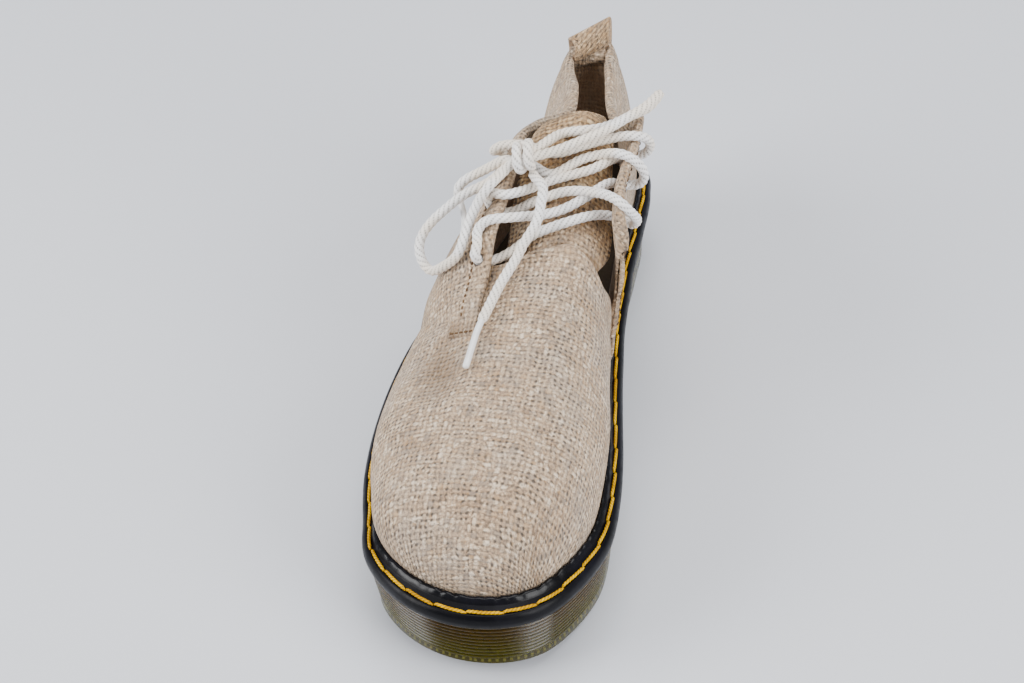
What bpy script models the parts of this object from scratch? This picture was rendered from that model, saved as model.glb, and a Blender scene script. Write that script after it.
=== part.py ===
"""Low open-laced derby shoe of coarse hemp cloth on a welted, ribbed sole: a right shoe.

Sizes are millimetres here and metres in the meshes.  +Z is up, the toe points to -Y, the inner side
of the foot is towards +X.  The origin is on the floor, under the middle of the shoe.
"""
import math

import bmesh
import bpy
import numpy as np
from mathutils import Vector

MM = 0.001
GAP = 0.3
MERGE = 0.02
SHARP = math.radians(40)


def smooth(xs, ys, x):
    """Cubic curve through the points (xs, ys) that never swings past them.

    The slope at a point is the harmonic mean of the slopes beside it, or zero at a high or low point.
    """
    x = np.asarray(x, float)
    rate = np.diff(ys) / np.diff(xs)
    same = rate[:-1] * rate[1:] > 0
    slope = np.concatenate([rate[:1], np.zeros(len(rate) - 1), rate[-1:]])
    slope[1:-1][same] = 2 / (1 / rate[:-1][same] + 1 / rate[1:][same])
    i = np.clip(np.searchsorted(xs, x, side="right") - 1, 0, len(xs) - 2)
    step = xs[i + 1] - xs[i]
    u = np.clip((x - xs[i]) / step, 0.0, 1.0)
    start = (1 + 2 * u) * (1 - u) ** 2 * ys[i] + u * (1 - u) ** 2 * step * slope[i]
    end = u * u * (3 - 2 * u) * ys[i + 1] + u * u * (u - 1) * step * slope[i + 1]
    return start + end


class Table:
    """Rows of sizes under named columns.  A call reads one column as a smooth curve of the first."""

    def __init__(self, columns, *rows):
        values = np.array(rows, float).T
        self.columns = dict(zip(columns.split(), values))
        self.key = values[0]

    def __call__(self, column, x):
        return smooth(self.key, self.columns[column], x)


# Plan: half widths of the welt's edge on each side of the line from toe tip to heel
LENGTH = 300.0
AXIS_X = 6.75
TOE_RADIUS = 47.0
HEEL_RADIUS = 34.0
WIDTHS = Table(
    "from_toe outer inner",
    (25, 44.6, 38.2),
    (50, 53.4, 46.8),
    (75, 59.3, 47.4),
    (100, 61.5, 44.9),
    (125, 61.2, 41.0),
    (150, 58.5, 37.5),
    (180, 50.5, 34.2),
    (210, 43.0, 33.0),
    (240, 35.8, 33.5),
    (270, 31.5, 33.0),
    (285, 28.0, 29.0),
)

# Side view: the welt's top line and the tread, with toe spring, arch, heel breast and heel
HEEL_BREAST = 203.0
SIDE = Table(
    "from_toe welt_top tread",
    (0, 41.0, 8.5),
    (20, 38.4, 4.2),
    (40, 36.0, 1.2),
    (55, 34.6, 0.0),
    (85, 33.4, 0.0),
    (140, 33.6, 0.0),
    (165, 34.2, 3.0),
    (185, 34.9, 4.6),
    (HEEL_BREAST - 2, 35.6, 4.6),
    (HEEL_BREAST + 2, 35.8, 0.0),
    (265, 38.0, 0.0),
    (290, 38.8, 0.0),
    (300, 39.0, 1.5),
)
STATION_COUNT = 26

# Outsole: ribbed wall that leans in towards the tread, and tread bars
SOLE_INSET = 1.2
SOLE_LEAN = 0.12
RIB_COUNT = 10
RIB_BAND = 23.0
RIB_DEPTH = 0.9
FOOT_CHAMFER = 1.4
GROOVE_WIDTH = 5.0
GROOVE_DEPTH = 3.0
GROOVE_MARGIN = 12.0
FORE_GROOVES = np.arange(64.0, 140.0, 15.0)
HEEL_GROOVES = np.arange(221.0, 285.0, 15.0)

# Welt: black ring around the upper, from the sole's top to the stitched shoulder
WELT_HEIGHT = 6.5
WELT_GAP = 0.6
WELT_PROFILE = Table(
    "order inset lift",
    (0, 0.2, GAP - WELT_HEIGHT),
    (1, 0.0, -2.2),
    (2, 0.5, -0.8),
    (3, 1.6, -0.1),
    (4, 2.7, 0.0),
    (5, 3.3, -0.7),
    (6, 3.9, 0.1),
)
WELT_RIDGE = Table(
    "order before_cloth lift",
    (0, 1.1, 1.4),
    (1, 0.0, 0.8),
    (2, 0.0, GAP - WELT_HEIGHT),
)
CLOTH_INSET = Table(
    "from_toe outer inner",
    (0, 10.6, 10.6),
    (40, 7.6, 8.6),
    (90, 6.0, 7.6),
    (150, 6.0, 7.6),
    (210, 6.4, 7.2),
    (300, 6.8, 6.8),
)

# Insole
INSOLE_THICK = 5.0
INSOLE_INSET = 4.4
INSOLE_ROUND = 1.0

# Upper: vamp ribs run from the welt up to the ridge of the foot
CLOTH = 2.0
RIDGE = Table(
    "foot top x height outer_fullness inner_fullness outer_swell inner_swell",
    (0, 40, 7.0, 75.0, 1.00, 1.00, 0.5, 0.5),
    (25, 50, 7.5, 78.0, 1.00, 1.00, 4.0, 1.0),
    (50, 66, 9.0, 80.5, 0.98, 0.98, 5.0, 1.5),
    (75, 86, 11.5, 83.5, 0.94, 0.98, 5.0, 3.0),
    (100, 108, 14.5, 87.5, 0.87, 0.98, 3.5, 4.0),
    (125, 130, 18.0, 92.5, 0.79, 1.00, 1.5, 4.0),
    (150, 150, 21.0, 98.0, 0.72, 1.00, 0.0, 3.2),
    (162, 162, 21.0, 101.0, 0.70, 1.00, 0.0, 2.5),
)
THROAT = Table(
    "rise outer inner",
    (0.0, 162, 160),
    (0.3, 160, 153),
    (0.5, 154, 146.5),
    (0.62, 149, 147.5),
    (0.75, 143, 148.6),
    (0.88, 147.5, 149.6),
    (1.0, 150, 150),
)
VAMP_COLUMNS = 15
VAMP_ROWS = 9

# Quarters: ribs run from the welt up to the flap's facing edge and on to the topline
OUTER_QUARTER = Table(
    "foot top x height outer_fullness outer_swell outer_reach",
    (146, 112.3, -11.4, 85.6, 0.78, 1.5, 0.95),
    (147.5, 124, -10.8, 87.3, 0.76, 1.2, 0.80),
    (150, 135, -10.5, 89.8, 0.72, 1.0, 0.60),
    (157, 151, -10.0, 100.5, 0.58, 0.5, 0.30),
    (172, 170, -8.5, 107.0, 0.54, 0.0, 0.20),
    (190, 188, -8.0, 109.5, 0.54, 0.0, 0.20),
    (206, 205, -7.5, 109.5, 0.54, 0.0, 0.20),
    (222, 221, -1.0, 103.5, 0.56, 0.0, 0.20),
    (240, 240, 6.5, 99.5, 0.60, 0.0, 0.20),
    (262, 262, 3.0, 97.0, 0.58, 0.0, 0.20),
    (280, 281, -2.0, 95.3, 0.56, 0.5, 0.20),
    (292, 295.5, -3.4, 95.2, 0.58, 1.5, 0.20),
    (300, 296.5, 7.0, 95.5, 0.60, 2.0, 0.20),
)
INNER_QUARTER = Table(
    "foot top x height inner_fullness inner_swell inner_reach",
    (148, 151, 39.6, 60.0, 0.60, 2.0, 0.20),
    (151, 154, 43.0, 82.0, 0.60, 2.5, 0.20),
    (156, 153, 43.0, 100.0, 0.65, 3.5, 0.20),
    (164, 160, 40.5, 111.0, 0.60, 4.0, 0.20),
    (180, 181, 41.0, 114.0, 0.55, 4.0, 0.20),
    (200, 202, 42.0, 115.5, 0.50, 2.5, 0.20),
    (214, 217, 42.0, 116.0, 0.45, 1.0, 0.20),
    (222, 225, 35.0, 109.0, 0.45, 0.5, 0.20),
    (231, 233, 29.5, 103.0, 0.47, 0.0, 0.20),
    (246, 248, 25.0, 99.0, 0.50, 0.0, 0.20),
    (266, 267, 21.0, 96.5, 0.50, 0.0, 0.20),
    (282, 284, 18.0, 95.3, 0.52, 0.5, 0.20),
    (293, 295.5, 17.4, 95.2, 0.58, 1.5, 0.20),
    (300, 296.5, 7.0, 95.5, 0.60, 2.0, 0.20),
)
QUARTERS = {"outer": OUTER_QUARTER, "inner": INNER_QUARTER}
QUARTER_COLUMNS = 22
QUARTER_BUNCH = 1.6
QUARTER_ROWS = 7
QUARTER_STEP = 1.2
STEP_RISE = 0.25
STEP_FADE = (285.0, 299.0)
UP_SHARE = 0.3
VAMP_TUCK = 1.0
TUCK_BEFORE = (14.0, 3.0)
TUCK_RISE = (0.5, 0.8)

# Tongue: from under the vamp to its free, rounded top; it drops away on both sides of its middle line
TONGUE = Table(
    "from_toe x height outer_half inner_half outer_drop inner_drop",
    (126, 18.0, 87.4, 24, 9, 10, 9),
    (140, 19.5, 90.4, 25, 9.5, 11, 9),
    (150, 20.5, 93.8, 26, 12, 11, 9),
    (160, 20.5, 98.2, 26, 16.5, 10, 10.5),
    (175, 20.5, 105.5, 26, 15, 9, 10),
    (190, 20.0, 113.2, 24, 13, 8, 7),
    (201, 19.5, 119.5, 21, 12.5, 6, 5),
    (206, 19.3, 122.2, 16, 11, 4, 4),
    (208, 19.3, 123.3, 9, 8, 2, 2),
)
TONGUE_CURL = 1.8
TONGUE_COLUMNS = 13
TONGUE_ROWS = 6

# Heel loop: cloth strip folded over the back of the collar, higher on the inner side
HEEL_LOOP_CLOTH = 1.6
HEEL_LOOP_LEFT = -2.0
HEEL_LOOP_RIGHT = 16.5
HEEL_LOOP_SLANT = 7.0
HEEL_LOOP_COLUMNS = 4
HEEL_LOOP_PROFILE = Table(
    "order y z",
    (0, 147.9, 84.0),
    (1, 147.8, 93.0),
    (2, 148.8, 99.0),
    (3, 148.4, 104.0),
    (4, 145.4, 107.0),
    (5, 141.8, 104.0),
    (6, 140.6, 98.5),
    (7, 141.0, 94.0),
    (8, 141.2, 90.5),
)

# Eyelets: turned rings set from inside the flaps, flush outside; numbers run down from the collar
EYELET_HOLE = 6.4
EYELET_BORE = 5.0
EYELET_FLANGE = 8.8
EYELET_PLATE = 0.6
EYELET_STEPS = 14
EYELETS = {
    "outer": Table("number foot rise", (1, 199, 0.87), (2, 169, 0.90), (3, 152.6, 0.94)),
    "inner": Table("number foot rise", (1, 205, 0.76), (2, 187, 0.75), (3, 171.5, 0.70)),
}

# Lace: crossings between the eyelets, and the bow; route points of the lace's middle line
LACE = 4.8
LACE_STEP = 5.0
CORD_STEP = 10.0
AGLET = 0.62
AGLET_LENGTH = 20.0
AGLET_STEP = 0.5
CROSS_TOP = [
    [(-16, 47.5, 108), (-17.5, 44, 110.5), (-15, 43, 113.5), (-9.5, 42, 116), (-3.5, 41, 117),
     (3.5, 40, 115.5), (9.5, 39, 115.5), (20, 41.5, 118), (29.5, 46, 119), (37.5, 48.5, 120),
     (43.5, 50, 119.5), (47, 53, 116), (48, 55, 111), (45, 56.5, 105.5)],
]
CROSS_UPPER = [
    [(45, 38, 103.5), (48, 36.5, 109.5), (44.5, 36, 117), (38, 37.5, 119), (30, 39.5, 116.5),
     (20.5, 36.5, 114.5), (9.5, 30.5, 111), (1.5, 36, 110)],
    [(35.8, 50, 107), (35.8, 46.5, 110), (33.5, 41, 113), (27, 34, 113), (20.5, 31, 112), (9.5, 27, 110),
     (2, 23, 108.5), (-3.5, 16.5, 110.5), (-7.5, 15, 110.5), (-14.5, 17.5, 108)],
]
CROSS_LOWER = [
    [(-3.5, 19.5, 99), (2, 21, 102), (8.5, 22, 105), (15, 22.5, 108), (20.5, 22.5, 109.5),
     (29.5, 19.5, 112), (38, 13.5, 115), (43, 10, 114.5), (46.5, 11.5, 109), (47.5, 17, 100.5),
     (45, 19.5, 97)],
    [(-15.5, -8.5, 96.2), (-15.3, -4.5, 99.5), (-16, -1, 101.5), (-15, 1.5, 103.8), (-11.5, 2.5, 106.5),
     (-5.5, 3, 108), (1.5, 8, 105.5), (8, 12, 103.8), (15.5, 15.5, 104), (22.5, 19, 106.5),
     (29, 24.5, 108.5), (34, 32, 107.5)],
]
BAR_BOTTOM = [
    [(34.5, 19.5, 100.5), (30, 17, 102), (24.5, 13, 103), (20, 10, 103), (10, 8, 99), (5, 6.5, 96.5),
     (1.5, 3.5, 94.5)],
]
KNOT = [
    (-3, 30.8, 116.2), (-2.6, 24.1, 117.1), (-2, 22.5, 121), (-1.2, 24.1, 124.9), (-0.2, 28, 126.5),
    (0.6, 31.9, 124.9), (1.2, 33.5, 121), (1.8, 31.9, 117.1), (2.2, 28, 115.5),
]
BOW_LEFT = [
    (-9, 24, 115.5), (-13, 15, 115), (-18.5, 11, 106.5), (-21.5, 0, 99.5), (-23.5, -5.5, 94),
    (-31, -4.8, 85.2), (-37.5, -2, 80.5), (-42, 2, 83.5), (-43, 6, 88), (-39, 12, 94.5), (-33, 17, 99),
    (-25, 22, 104), (-17, 25, 107), (-14.5, 26, 109.5),
]
BOW_RIGHT = [
    (7.5, 40.5, 121), (11, 46.5, 120), (21.5, 48, 122), (31, 54, 121), (40, 61.5, 122), (47, 68, 123.5),
    (49.5, 71.5, 126), (46.5, 63.5, 127), (39.5, 55, 126), (31.5, 46.5, 124.8), (20.5, 38.5, 123),
    (10, 33.5, 120.5),
]
END_FRONT = [
    (2.4, 26.4, 114.9), (4.3, 23.2, 114.5), (8, 19, 114), (9, 11, 111.5), (8.5, 2.5, 107.5), (5, -3, 102.5),
    (2, -8.5, 97.5), (-1.5, -17, 94), (-4, -25.5, 91.5), (-6, -34.5, 89.5), (-7, -41.5, 88.5), (-7, -52, 86.2),
    (-6.5, -63.5, 84.8),
]
END_SIDE = [
    (-6, 29.5, 117), (-8.7, 29.6, 117.3), (-12, 30, 115.6), (-20, 30.5, 109.5), (-26.5, 29.5, 105.5),
    (-30, 27.5, 101.5), (-28.5, 24, 96.5), (-23.5, 5, 96),
]

COLOURS = {
    "sole": ((0.21, 0.20, 0.07, 1.0), 0.35, 0.0),
    "welt": ((0.015, 0.016, 0.018, 1.0), 0.35, 0.0),
    "cloth": ((0.56, 0.47, 0.36, 1.0), 0.9, 0.0),
    "footbed": ((0.30, 0.21, 0.13, 1.0), 0.9, 0.0),
    "metal": ((0.72, 0.73, 0.74, 1.0), 0.3, 1.0),
    "lace": ((0.83, 0.80, 0.75, 1.0), 0.85, 0.0),
}

for old in list(bpy.data.objects):
    bpy.data.objects.remove(old, do_unlink=True)


def collection(name):
    group = bpy.data.collections.new(name)
    bpy.context.scene.collection.children.link(group)
    return group


SHOE = collection("derby_shoe")
CUTTERS = collection("cutters")


def material(name):
    """Plain finish of one kind of piece."""
    colour, roughness, metallic = COLOURS[name]
    finish = bpy.data.materials.get(name) or bpy.data.materials.new(name)
    finish.use_nodes = True
    shader = finish.node_tree.nodes["Principled BSDF"]
    shader.inputs["Base Color"].default_value = colour
    shader.inputs["Roughness"].default_value = roughness
    shader.inputs["Metallic"].default_value = metallic
    finish.diffuse_color = colour
    return finish


def mesh_object(name, points, faces, finish, group=SHOE):
    """Object from points in millimetres, with double points merged and its faces turned outwards."""
    mesh = bpy.data.meshes.new(name)
    mesh.from_pydata((np.asarray(points) * MM).tolist(), [], faces)
    form = bmesh.new()
    form.from_mesh(mesh)
    bmesh.ops.remove_doubles(form, verts=form.verts, dist=MERGE * MM)
    bmesh.ops.recalc_face_normals(form, faces=form.faces)
    form.to_mesh(mesh)
    form.free()
    mesh.shade_smooth()
    mesh.set_sharp_from_angle(angle=SHARP)
    made = bpy.data.objects.new(name, mesh)
    made.data.materials.append(material(finish))
    group.objects.link(made)
    return made


def cutter(made):
    """Mark an object as a tool that only shapes other objects."""
    made.hide_render = True
    made.display_type = "WIRE"
    return made


def boolean(target, tool, operation):
    step = target.modifiers.new(tool.name, "BOOLEAN")
    step.operation = operation
    step.solver = "EXACT"
    step.object = tool


def grid_faces(rows, columns, wrap=False):
    """Quads of a grid of points stored row by row; wrap joins the last column to the first."""
    faces = []
    for r in range(rows - 1):
        for c in range(columns if wrap else columns - 1):
            d = (c + 1) % columns
            faces.append((r * columns + c, r * columns + d, (r + 1) * columns + d, (r + 1) * columns + c))
    return faces


# Plan outline
def bell(from_toe):
    """Round-ended unit outline: 0 at toe tip and heel, 1 in the middle."""
    part = np.clip(np.asarray(from_toe, float) / LENGTH, 0.0, 1.0)
    return 2 * np.sqrt(part * (1 - part))


def end_fullness(radius):
    """Value that the half width over the bell tends to at an end with this radius."""
    return math.sqrt(radius * LENGTH / 2)


def fullness_rows():
    rows = [(0.0, end_fullness(TOE_RADIUS), end_fullness(TOE_RADIUS))]
    for station, outer, inner in zip(*WIDTHS.columns.values()):
        rows.append((station, outer / bell(station), inner / bell(station)))
    rows.append((LENGTH, end_fullness(HEEL_RADIUS), end_fullness(HEEL_RADIUS)))
    return rows


FULLNESS = Table("from_toe outer inner", *fullness_rows())
SIGN = {"outer": -1.0, "inner": 1.0}


def turn_of(from_toe):
    """Angle that runs from 0 at the toe tip to pi at the heel."""
    return np.arccos(1 - 2 * np.asarray(from_toe, float) / LENGTH)


def from_toe_of(turn):
    return LENGTH * (1 - np.cos(turn)) / 2


def edge_point(side, turn):
    station = from_toe_of(turn)
    x = AXIS_X + SIGN[side] * np.sin(turn) * FULLNESS(side, station)
    return np.stack([x, station - LENGTH / 2], axis=-1)


def plan(side, turn, inset):
    """Plan points a distance inside the welt's edge, and the outward direction there."""
    small = 1e-3
    along = edge_point(side, turn + small) - edge_point(side, turn - small)
    outward = np.stack([along[..., 1], -along[..., 0]], axis=-1) * SIGN[side]
    outward /= np.linalg.norm(outward, axis=-1, keepdims=True)
    return edge_point(side, turn) - outward * np.asarray(inset, float)[..., None], outward


def height(column, y):
    return SIDE(column, np.clip(y + LENGTH / 2, 0.0, LENGTH))


BREAST_TURNS = turn_of(np.array([HEEL_BREAST - 2, HEEL_BREAST + 2]))
TURNS = np.unique(np.concatenate([np.linspace(0, math.pi, STATION_COUNT + 1), BREAST_TURNS]))


def loop(inset, turns=TURNS):
    """Closed plan loop inside the welt's edge: toe, outer side, heel, then back along the inner side."""
    outer_inset, inner_inset = inset if isinstance(inset, tuple) else (inset, inset)
    outer = plan("outer", turns, np.broadcast_to(outer_inset, turns.shape))[0]
    inner = plan("inner", turns, np.broadcast_to(inner_inset, turns.shape))[0]
    return np.concatenate([outer, inner[-2:0:-1]])


def cloth_inset(turns=TURNS, extra=0.0):
    """Distance from the welt's edge to the cloth, on both sides."""
    station = from_toe_of(turns)
    return CLOTH_INSET("outer", station) + extra, CLOTH_INSET("inner", station) + extra


def raised(points, z):
    return np.concatenate([points, np.broadcast_to(z, points.shape[:1])[:, None]], axis=1)


def lofted_solid(name, rings, finish):
    """Closed solid through stacked loops, with its ends closed by strips across the shoe."""
    count = len(rings[0])
    faces = grid_faces(len(rings), count, wrap=True)
    for start in (0, (len(rings) - 1) * count):
        for i in range(count // 2):
            strip = [i, i + 1, count - i - 1, (count - i) % count]
            faces.append(tuple(start + k for k in dict.fromkeys(strip)))
    return mesh_object(name, np.concatenate(rings), faces, finish)


# Outsole
def sole_top(y):
    return height("welt_top", y) - WELT_HEIGHT


def make_outsole():
    def wall_ring(depth, extra):
        points = loop(SOLE_INSET + SOLE_LEAN * depth + extra)
        return raised(points, sole_top(points[:, 1]) - depth)

    pitch = RIB_BAND / RIB_COUNT
    rings = [wall_ring(0.0, RIB_DEPTH)]
    for rib in range(RIB_COUNT):
        rings.append(wall_ring((rib + 0.5) * pitch, 0.0))
        rings.append(wall_ring((rib + 1.0) * pitch, RIB_DEPTH))
    foot_inset = SOLE_INSET + SOLE_LEAN * RIB_BAND
    for share, lift in ((0.4, FOOT_CHAMFER / 2), (1.0, 0.0)):
        points = loop(foot_inset + share * FOOT_CHAMFER)
        tread = height("tread", points[:, 1])
        rings.append(raised(points, tread + lift))
    sole = lofted_solid("outsole", rings, "sole")
    for number, station in enumerate(np.concatenate([FORE_GROOVES, HEEL_GROOVES])):
        left, right = (edge_point(side, turn_of(station))[0] for side in ("outer", "inner"))
        bpy.ops.mesh.primitive_cube_add(size=1.0)
        bar = bpy.context.object
        bar.name = f"tread_groove_{number}"
        bar.scale = ((right - left - 2 * GROOVE_MARGIN) * MM, GROOVE_WIDTH * MM, 2 * GROOVE_DEPTH * MM)
        bar.location = ((left + right) / 2 * MM, (station - LENGTH / 2) * MM, 0.0)
        move_to(bar, CUTTERS)
        boolean(sole, cutter(bar), "DIFFERENCE")


def move_to(made, group):
    for owner in list(made.users_collection):
        owner.objects.unlink(made)
    group.objects.link(made)


# Welt
def make_welt():
    rings = []
    for inset, lift in zip(WELT_PROFILE.columns["inset"], WELT_PROFILE.columns["lift"]):
        points = loop(inset)
        rings.append(raised(points, height("welt_top", points[:, 1]) + lift))
    for before, lift in zip(WELT_RIDGE.columns["before_cloth"], WELT_RIDGE.columns["lift"]):
        points = loop(cloth_inset(extra=-WELT_GAP - before))
        rings.append(raised(points, height("welt_top", points[:, 1]) + lift))
    rings.append(rings[0])
    faces = grid_faces(len(rings), len(rings[0]), wrap=True)
    mesh_object("welt", np.concatenate(rings), faces, "welt")


# Insole
def make_insole():
    turns = np.linspace(0, math.pi, STATION_COUNT)
    points = loop(cloth_inset(turns, INSOLE_INSET), turns)
    crown = loop(cloth_inset(turns, INSOLE_INSET + INSOLE_ROUND), turns)
    base = sole_top(points[:, 1]) + GAP
    rings = [
        raised(points, base),
        raised(points, base + INSOLE_THICK - INSOLE_ROUND),
        raised(crown, sole_top(crown[:, 1]) + GAP + INSOLE_THICK),
    ]
    lofted_solid("insole", rings, "footbed")


# Upper
def feather(side, foot):
    """Points where the upper's outside meets the welt, and the outward direction there."""
    return plan(side, turn_of(foot), CLOTH_INSET(side, foot))


def rib(side, foot, rise, table):
    """Points on ribs from the welt (rise 0) to the top (rise 1): a curve that leaves the welt upright.

    Its middle handle lies between the chord's middle and the corner above the welt, as fullness says.
    Reach says how far that handle lies along the shoe from foot to top, and swell pushes the lower part
    of the rib outwards, most at a third of the rise, where the cubic is 4/27.
    """
    base, outward = feather(side, foot)
    low = raised_grid(base, height("welt_top", base[..., 1]))
    top = np.stack([table("x", foot), table("top", foot) - LENGTH / 2, table("height", foot)], axis=-1)
    corner = raised_grid(base, top[..., 2])
    middle = (low + top) / 2
    handle = middle + (corner - middle) * table(side + "_fullness", foot)[..., None]
    if side + "_reach" in table.columns:
        handle[..., 1] = low[..., 1] + (top - low)[..., 1] * table(side + "_reach", foot)
    u = rise[..., None]
    points = (1 - u) ** 2 * low + 2 * u * (1 - u) * handle + u * u * top
    push = 27 / 4 * rise * (1 - rise) ** 2 * table(side + "_swell", foot)
    points[..., :2] += outward * push[..., None]
    return points


def raised_grid(points, z):
    return np.concatenate([points, z[..., None]], axis=-1)


def with_skirt(points):
    """Add the row that goes down inside the welt to the sole."""
    base = points[:1].copy()
    base[..., 2] = sole_top(base[..., 1]) + GAP
    return np.concatenate([base, points])


def grid_normals(points, outward_of):
    """Unit normals of a grid of points, on the side where outward_of points."""
    across = np.gradient(points, axis=0)
    along = np.gradient(points, axis=1)
    normal = np.cross(across, along)
    length = np.linalg.norm(normal, axis=-1, keepdims=True)
    normal = normal / np.maximum(length, 1e-9)
    return normal * np.sign(np.sum(normal * outward_of, axis=-1, keepdims=True))


def ease(value, low, high):
    u = np.clip((value - low) / (high - low), 0.0, 1.0)
    return u * u * (3 - 2 * u)


def pair_of_grids(name, grids, finish, group=SHOE):
    """One open sheet from an outer-side and an inner-side grid that share their border points."""
    points = []
    faces = []
    for grid in grids:
        rows, columns = grid.shape[:2]
        faces += [tuple(len(points) + k for k in face) for face in grid_faces(rows, columns)]
        points += grid.reshape(-1, 3).tolist()
    return mesh_object(name, points, faces, finish, group)


def solidify(made, thickness):
    wall = made.modifiers.new("wall", "SOLIDIFY")
    wall.thickness = thickness * MM
    wall.offset = -1.0


def vamp_grid(side):
    rise, part = np.meshgrid(np.linspace(0, 1, VAMP_ROWS), np.linspace(0, 1, VAMP_COLUMNS), indexing="ij")
    foot = part * THROAT(side, rise)
    points = rib(side, foot, rise, RIDGE)
    front = QUARTERS[side].key[0]
    along = ease(foot, front - TUCK_BEFORE[0], front - TUCK_BEFORE[1])
    points[..., 0] -= SIGN[side] * VAMP_TUCK * along * (1 - ease(rise, *TUCK_RISE))
    return with_skirt(points)


def quarter_grid(side):
    table = QUARTERS[side]
    first = turn_of(table.key[0])
    spread = np.linspace(0, 1, QUARTER_COLUMNS) ** QUARTER_BUNCH
    foot_line = from_toe_of(first + (math.pi - first) * spread)
    rise, foot = np.meshgrid(np.linspace(0, 1, QUARTER_ROWS), foot_line, indexing="ij")
    points = rib(side, foot, rise, table)
    outward = raised_grid(feather(side, foot)[1], np.full(foot.shape, UP_SHARE))
    step = QUARTER_STEP * ease(rise, 0.0, STEP_RISE) * (1 - ease(foot, *STEP_FADE))
    points = points + grid_normals(points, outward) * step[..., None]
    return with_skirt(points)


def make_upper():
    upper = pair_of_grids("upper", [vamp_grid("outer"), vamp_grid("inner")], "cloth")
    solidify(upper, CLOTH)
    quarters = pair_of_grids(
        "quarters",
        [quarter_grid("outer"), quarter_grid("inner")],
        "cloth",
        CUTTERS,
    )
    solidify(quarters, CLOTH)
    boolean(upper, cutter(quarters), "UNION")
    return upper


# Tongue
def tongue_grid(side):
    """Half of the tongue: rows go from its free side edge (0) to its middle line (1)."""
    across, part = np.meshgrid(
        np.linspace(0, 1, TONGUE_ROWS), np.linspace(0, 1, TONGUE_COLUMNS), indexing="ij"
    )
    station = TONGUE.key[0] + (TONGUE.key[-1] - TONGUE.key[0]) * np.sin(part * math.pi / 2)
    out = 1 - across
    x = TONGUE("x", station) + SIGN[side] * out * TONGUE(side + "_half", station)
    z = TONGUE("height", station) - out ** TONGUE_CURL * TONGUE(side + "_drop", station)
    return np.stack([x, station - LENGTH / 2, z], axis=-1)


def make_tongue():
    tongue = pair_of_grids("tongue", [tongue_grid("outer"), tongue_grid("inner")], "cloth")
    solidify(tongue, CLOTH)


# Heel loop
def make_heel_loop():
    y, z = HEEL_LOOP_PROFILE.columns["y"], HEEL_LOOP_PROFILE.columns["z"]
    x = np.linspace(HEEL_LOOP_LEFT, HEEL_LOOP_RIGHT, HEEL_LOOP_COLUMNS)
    lean = ease(z, z.min(), z.max())
    across = (x - HEEL_LOOP_LEFT) / (HEEL_LOOP_RIGHT - HEEL_LOOP_LEFT)
    points = np.stack(
        [
            np.broadcast_to(x, (len(y), len(x))),
            np.broadcast_to(y[:, None], (len(y), len(x))),
            z[:, None] + HEEL_LOOP_SLANT * lean[:, None] * across,
        ],
        axis=-1,
    )
    strip = mesh_object("heel_loop", points.reshape(-1, 3), grid_faces(len(y), len(x)), "cloth")
    solidify(strip, HEEL_LOOP_CLOTH)
    strip.modifiers["wall"].offset = 0.0


# Eyelets
def flap_frame(side, foot, rise):
    """Point on the outside of a flap, and the outward direction there."""
    table = QUARTERS[side]
    step = np.array([0.0, 0.5, 0.0])
    lift = np.array([0.0, 0.0, 0.01])
    points = rib(side, foot + step, np.clip(rise - lift, 0, 1), table)
    normal = np.cross(points[1] - points[0], points[2] - points[0])
    normal *= np.sign(normal[0]) * SIGN[side] / np.linalg.norm(normal)
    return points[0] + normal * QUARTER_STEP, normal


def make_eyelet(side, number, foot, rise, upper):
    centre, normal = flap_frame(side, foot, rise)
    turn = Vector(normal).to_track_quat("Z", "Y")
    bpy.ops.mesh.primitive_cylinder_add(
        vertices=EYELET_STEPS,
        radius=EYELET_HOLE / 2 * MM,
        depth=6 * CLOTH * MM,
        location=Vector(centre) * MM,
        rotation=turn.to_euler(),
    )
    hole = bpy.context.object
    hole.name = f"hole_{side}_{number}"
    move_to(hole, CUTTERS)
    boolean(upper, cutter(hole), "DIFFERENCE")
    seat = -CLOTH - 2 * GAP
    bore, barrel, flange = EYELET_BORE / 2, EYELET_HOLE / 2 - GAP, EYELET_FLANGE / 2
    profile = [
        (bore, 0, -GAP),
        (barrel, 0, -GAP),
        (barrel, 0, seat),
        (flange, 0, seat),
        (flange, 0, seat - EYELET_PLATE / 2),
        (bore, 0, seat - EYELET_PLATE),
    ]
    mesh = bpy.data.meshes.new(f"eyelet_{side}_{number}")
    edges = [(k, (k + 1) % len(profile)) for k in range(len(profile))]
    mesh.from_pydata((np.array(profile) * MM).tolist(), edges, [])
    mesh.materials.append(material("metal"))
    ring = bpy.data.objects.new(mesh.name, mesh)
    ring.location = Vector(centre) * MM
    ring.rotation_euler = turn.to_euler()
    SHOE.objects.link(ring)
    spin = ring.modifiers.new("turn", "SCREW")
    spin.steps = EYELET_STEPS
    spin.render_steps = EYELET_STEPS
    spin.use_merge_vertices = True
    spin.merge_threshold = MERGE * MM
    spin.use_normal_calculate = True
    spin.use_normal_flip = True


def make_eyelets(upper):
    for side, table in EYELETS.items():
        for number, foot, rise in zip(*table.columns.values()):
            make_eyelet(side, int(number), foot, rise, upper)


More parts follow.
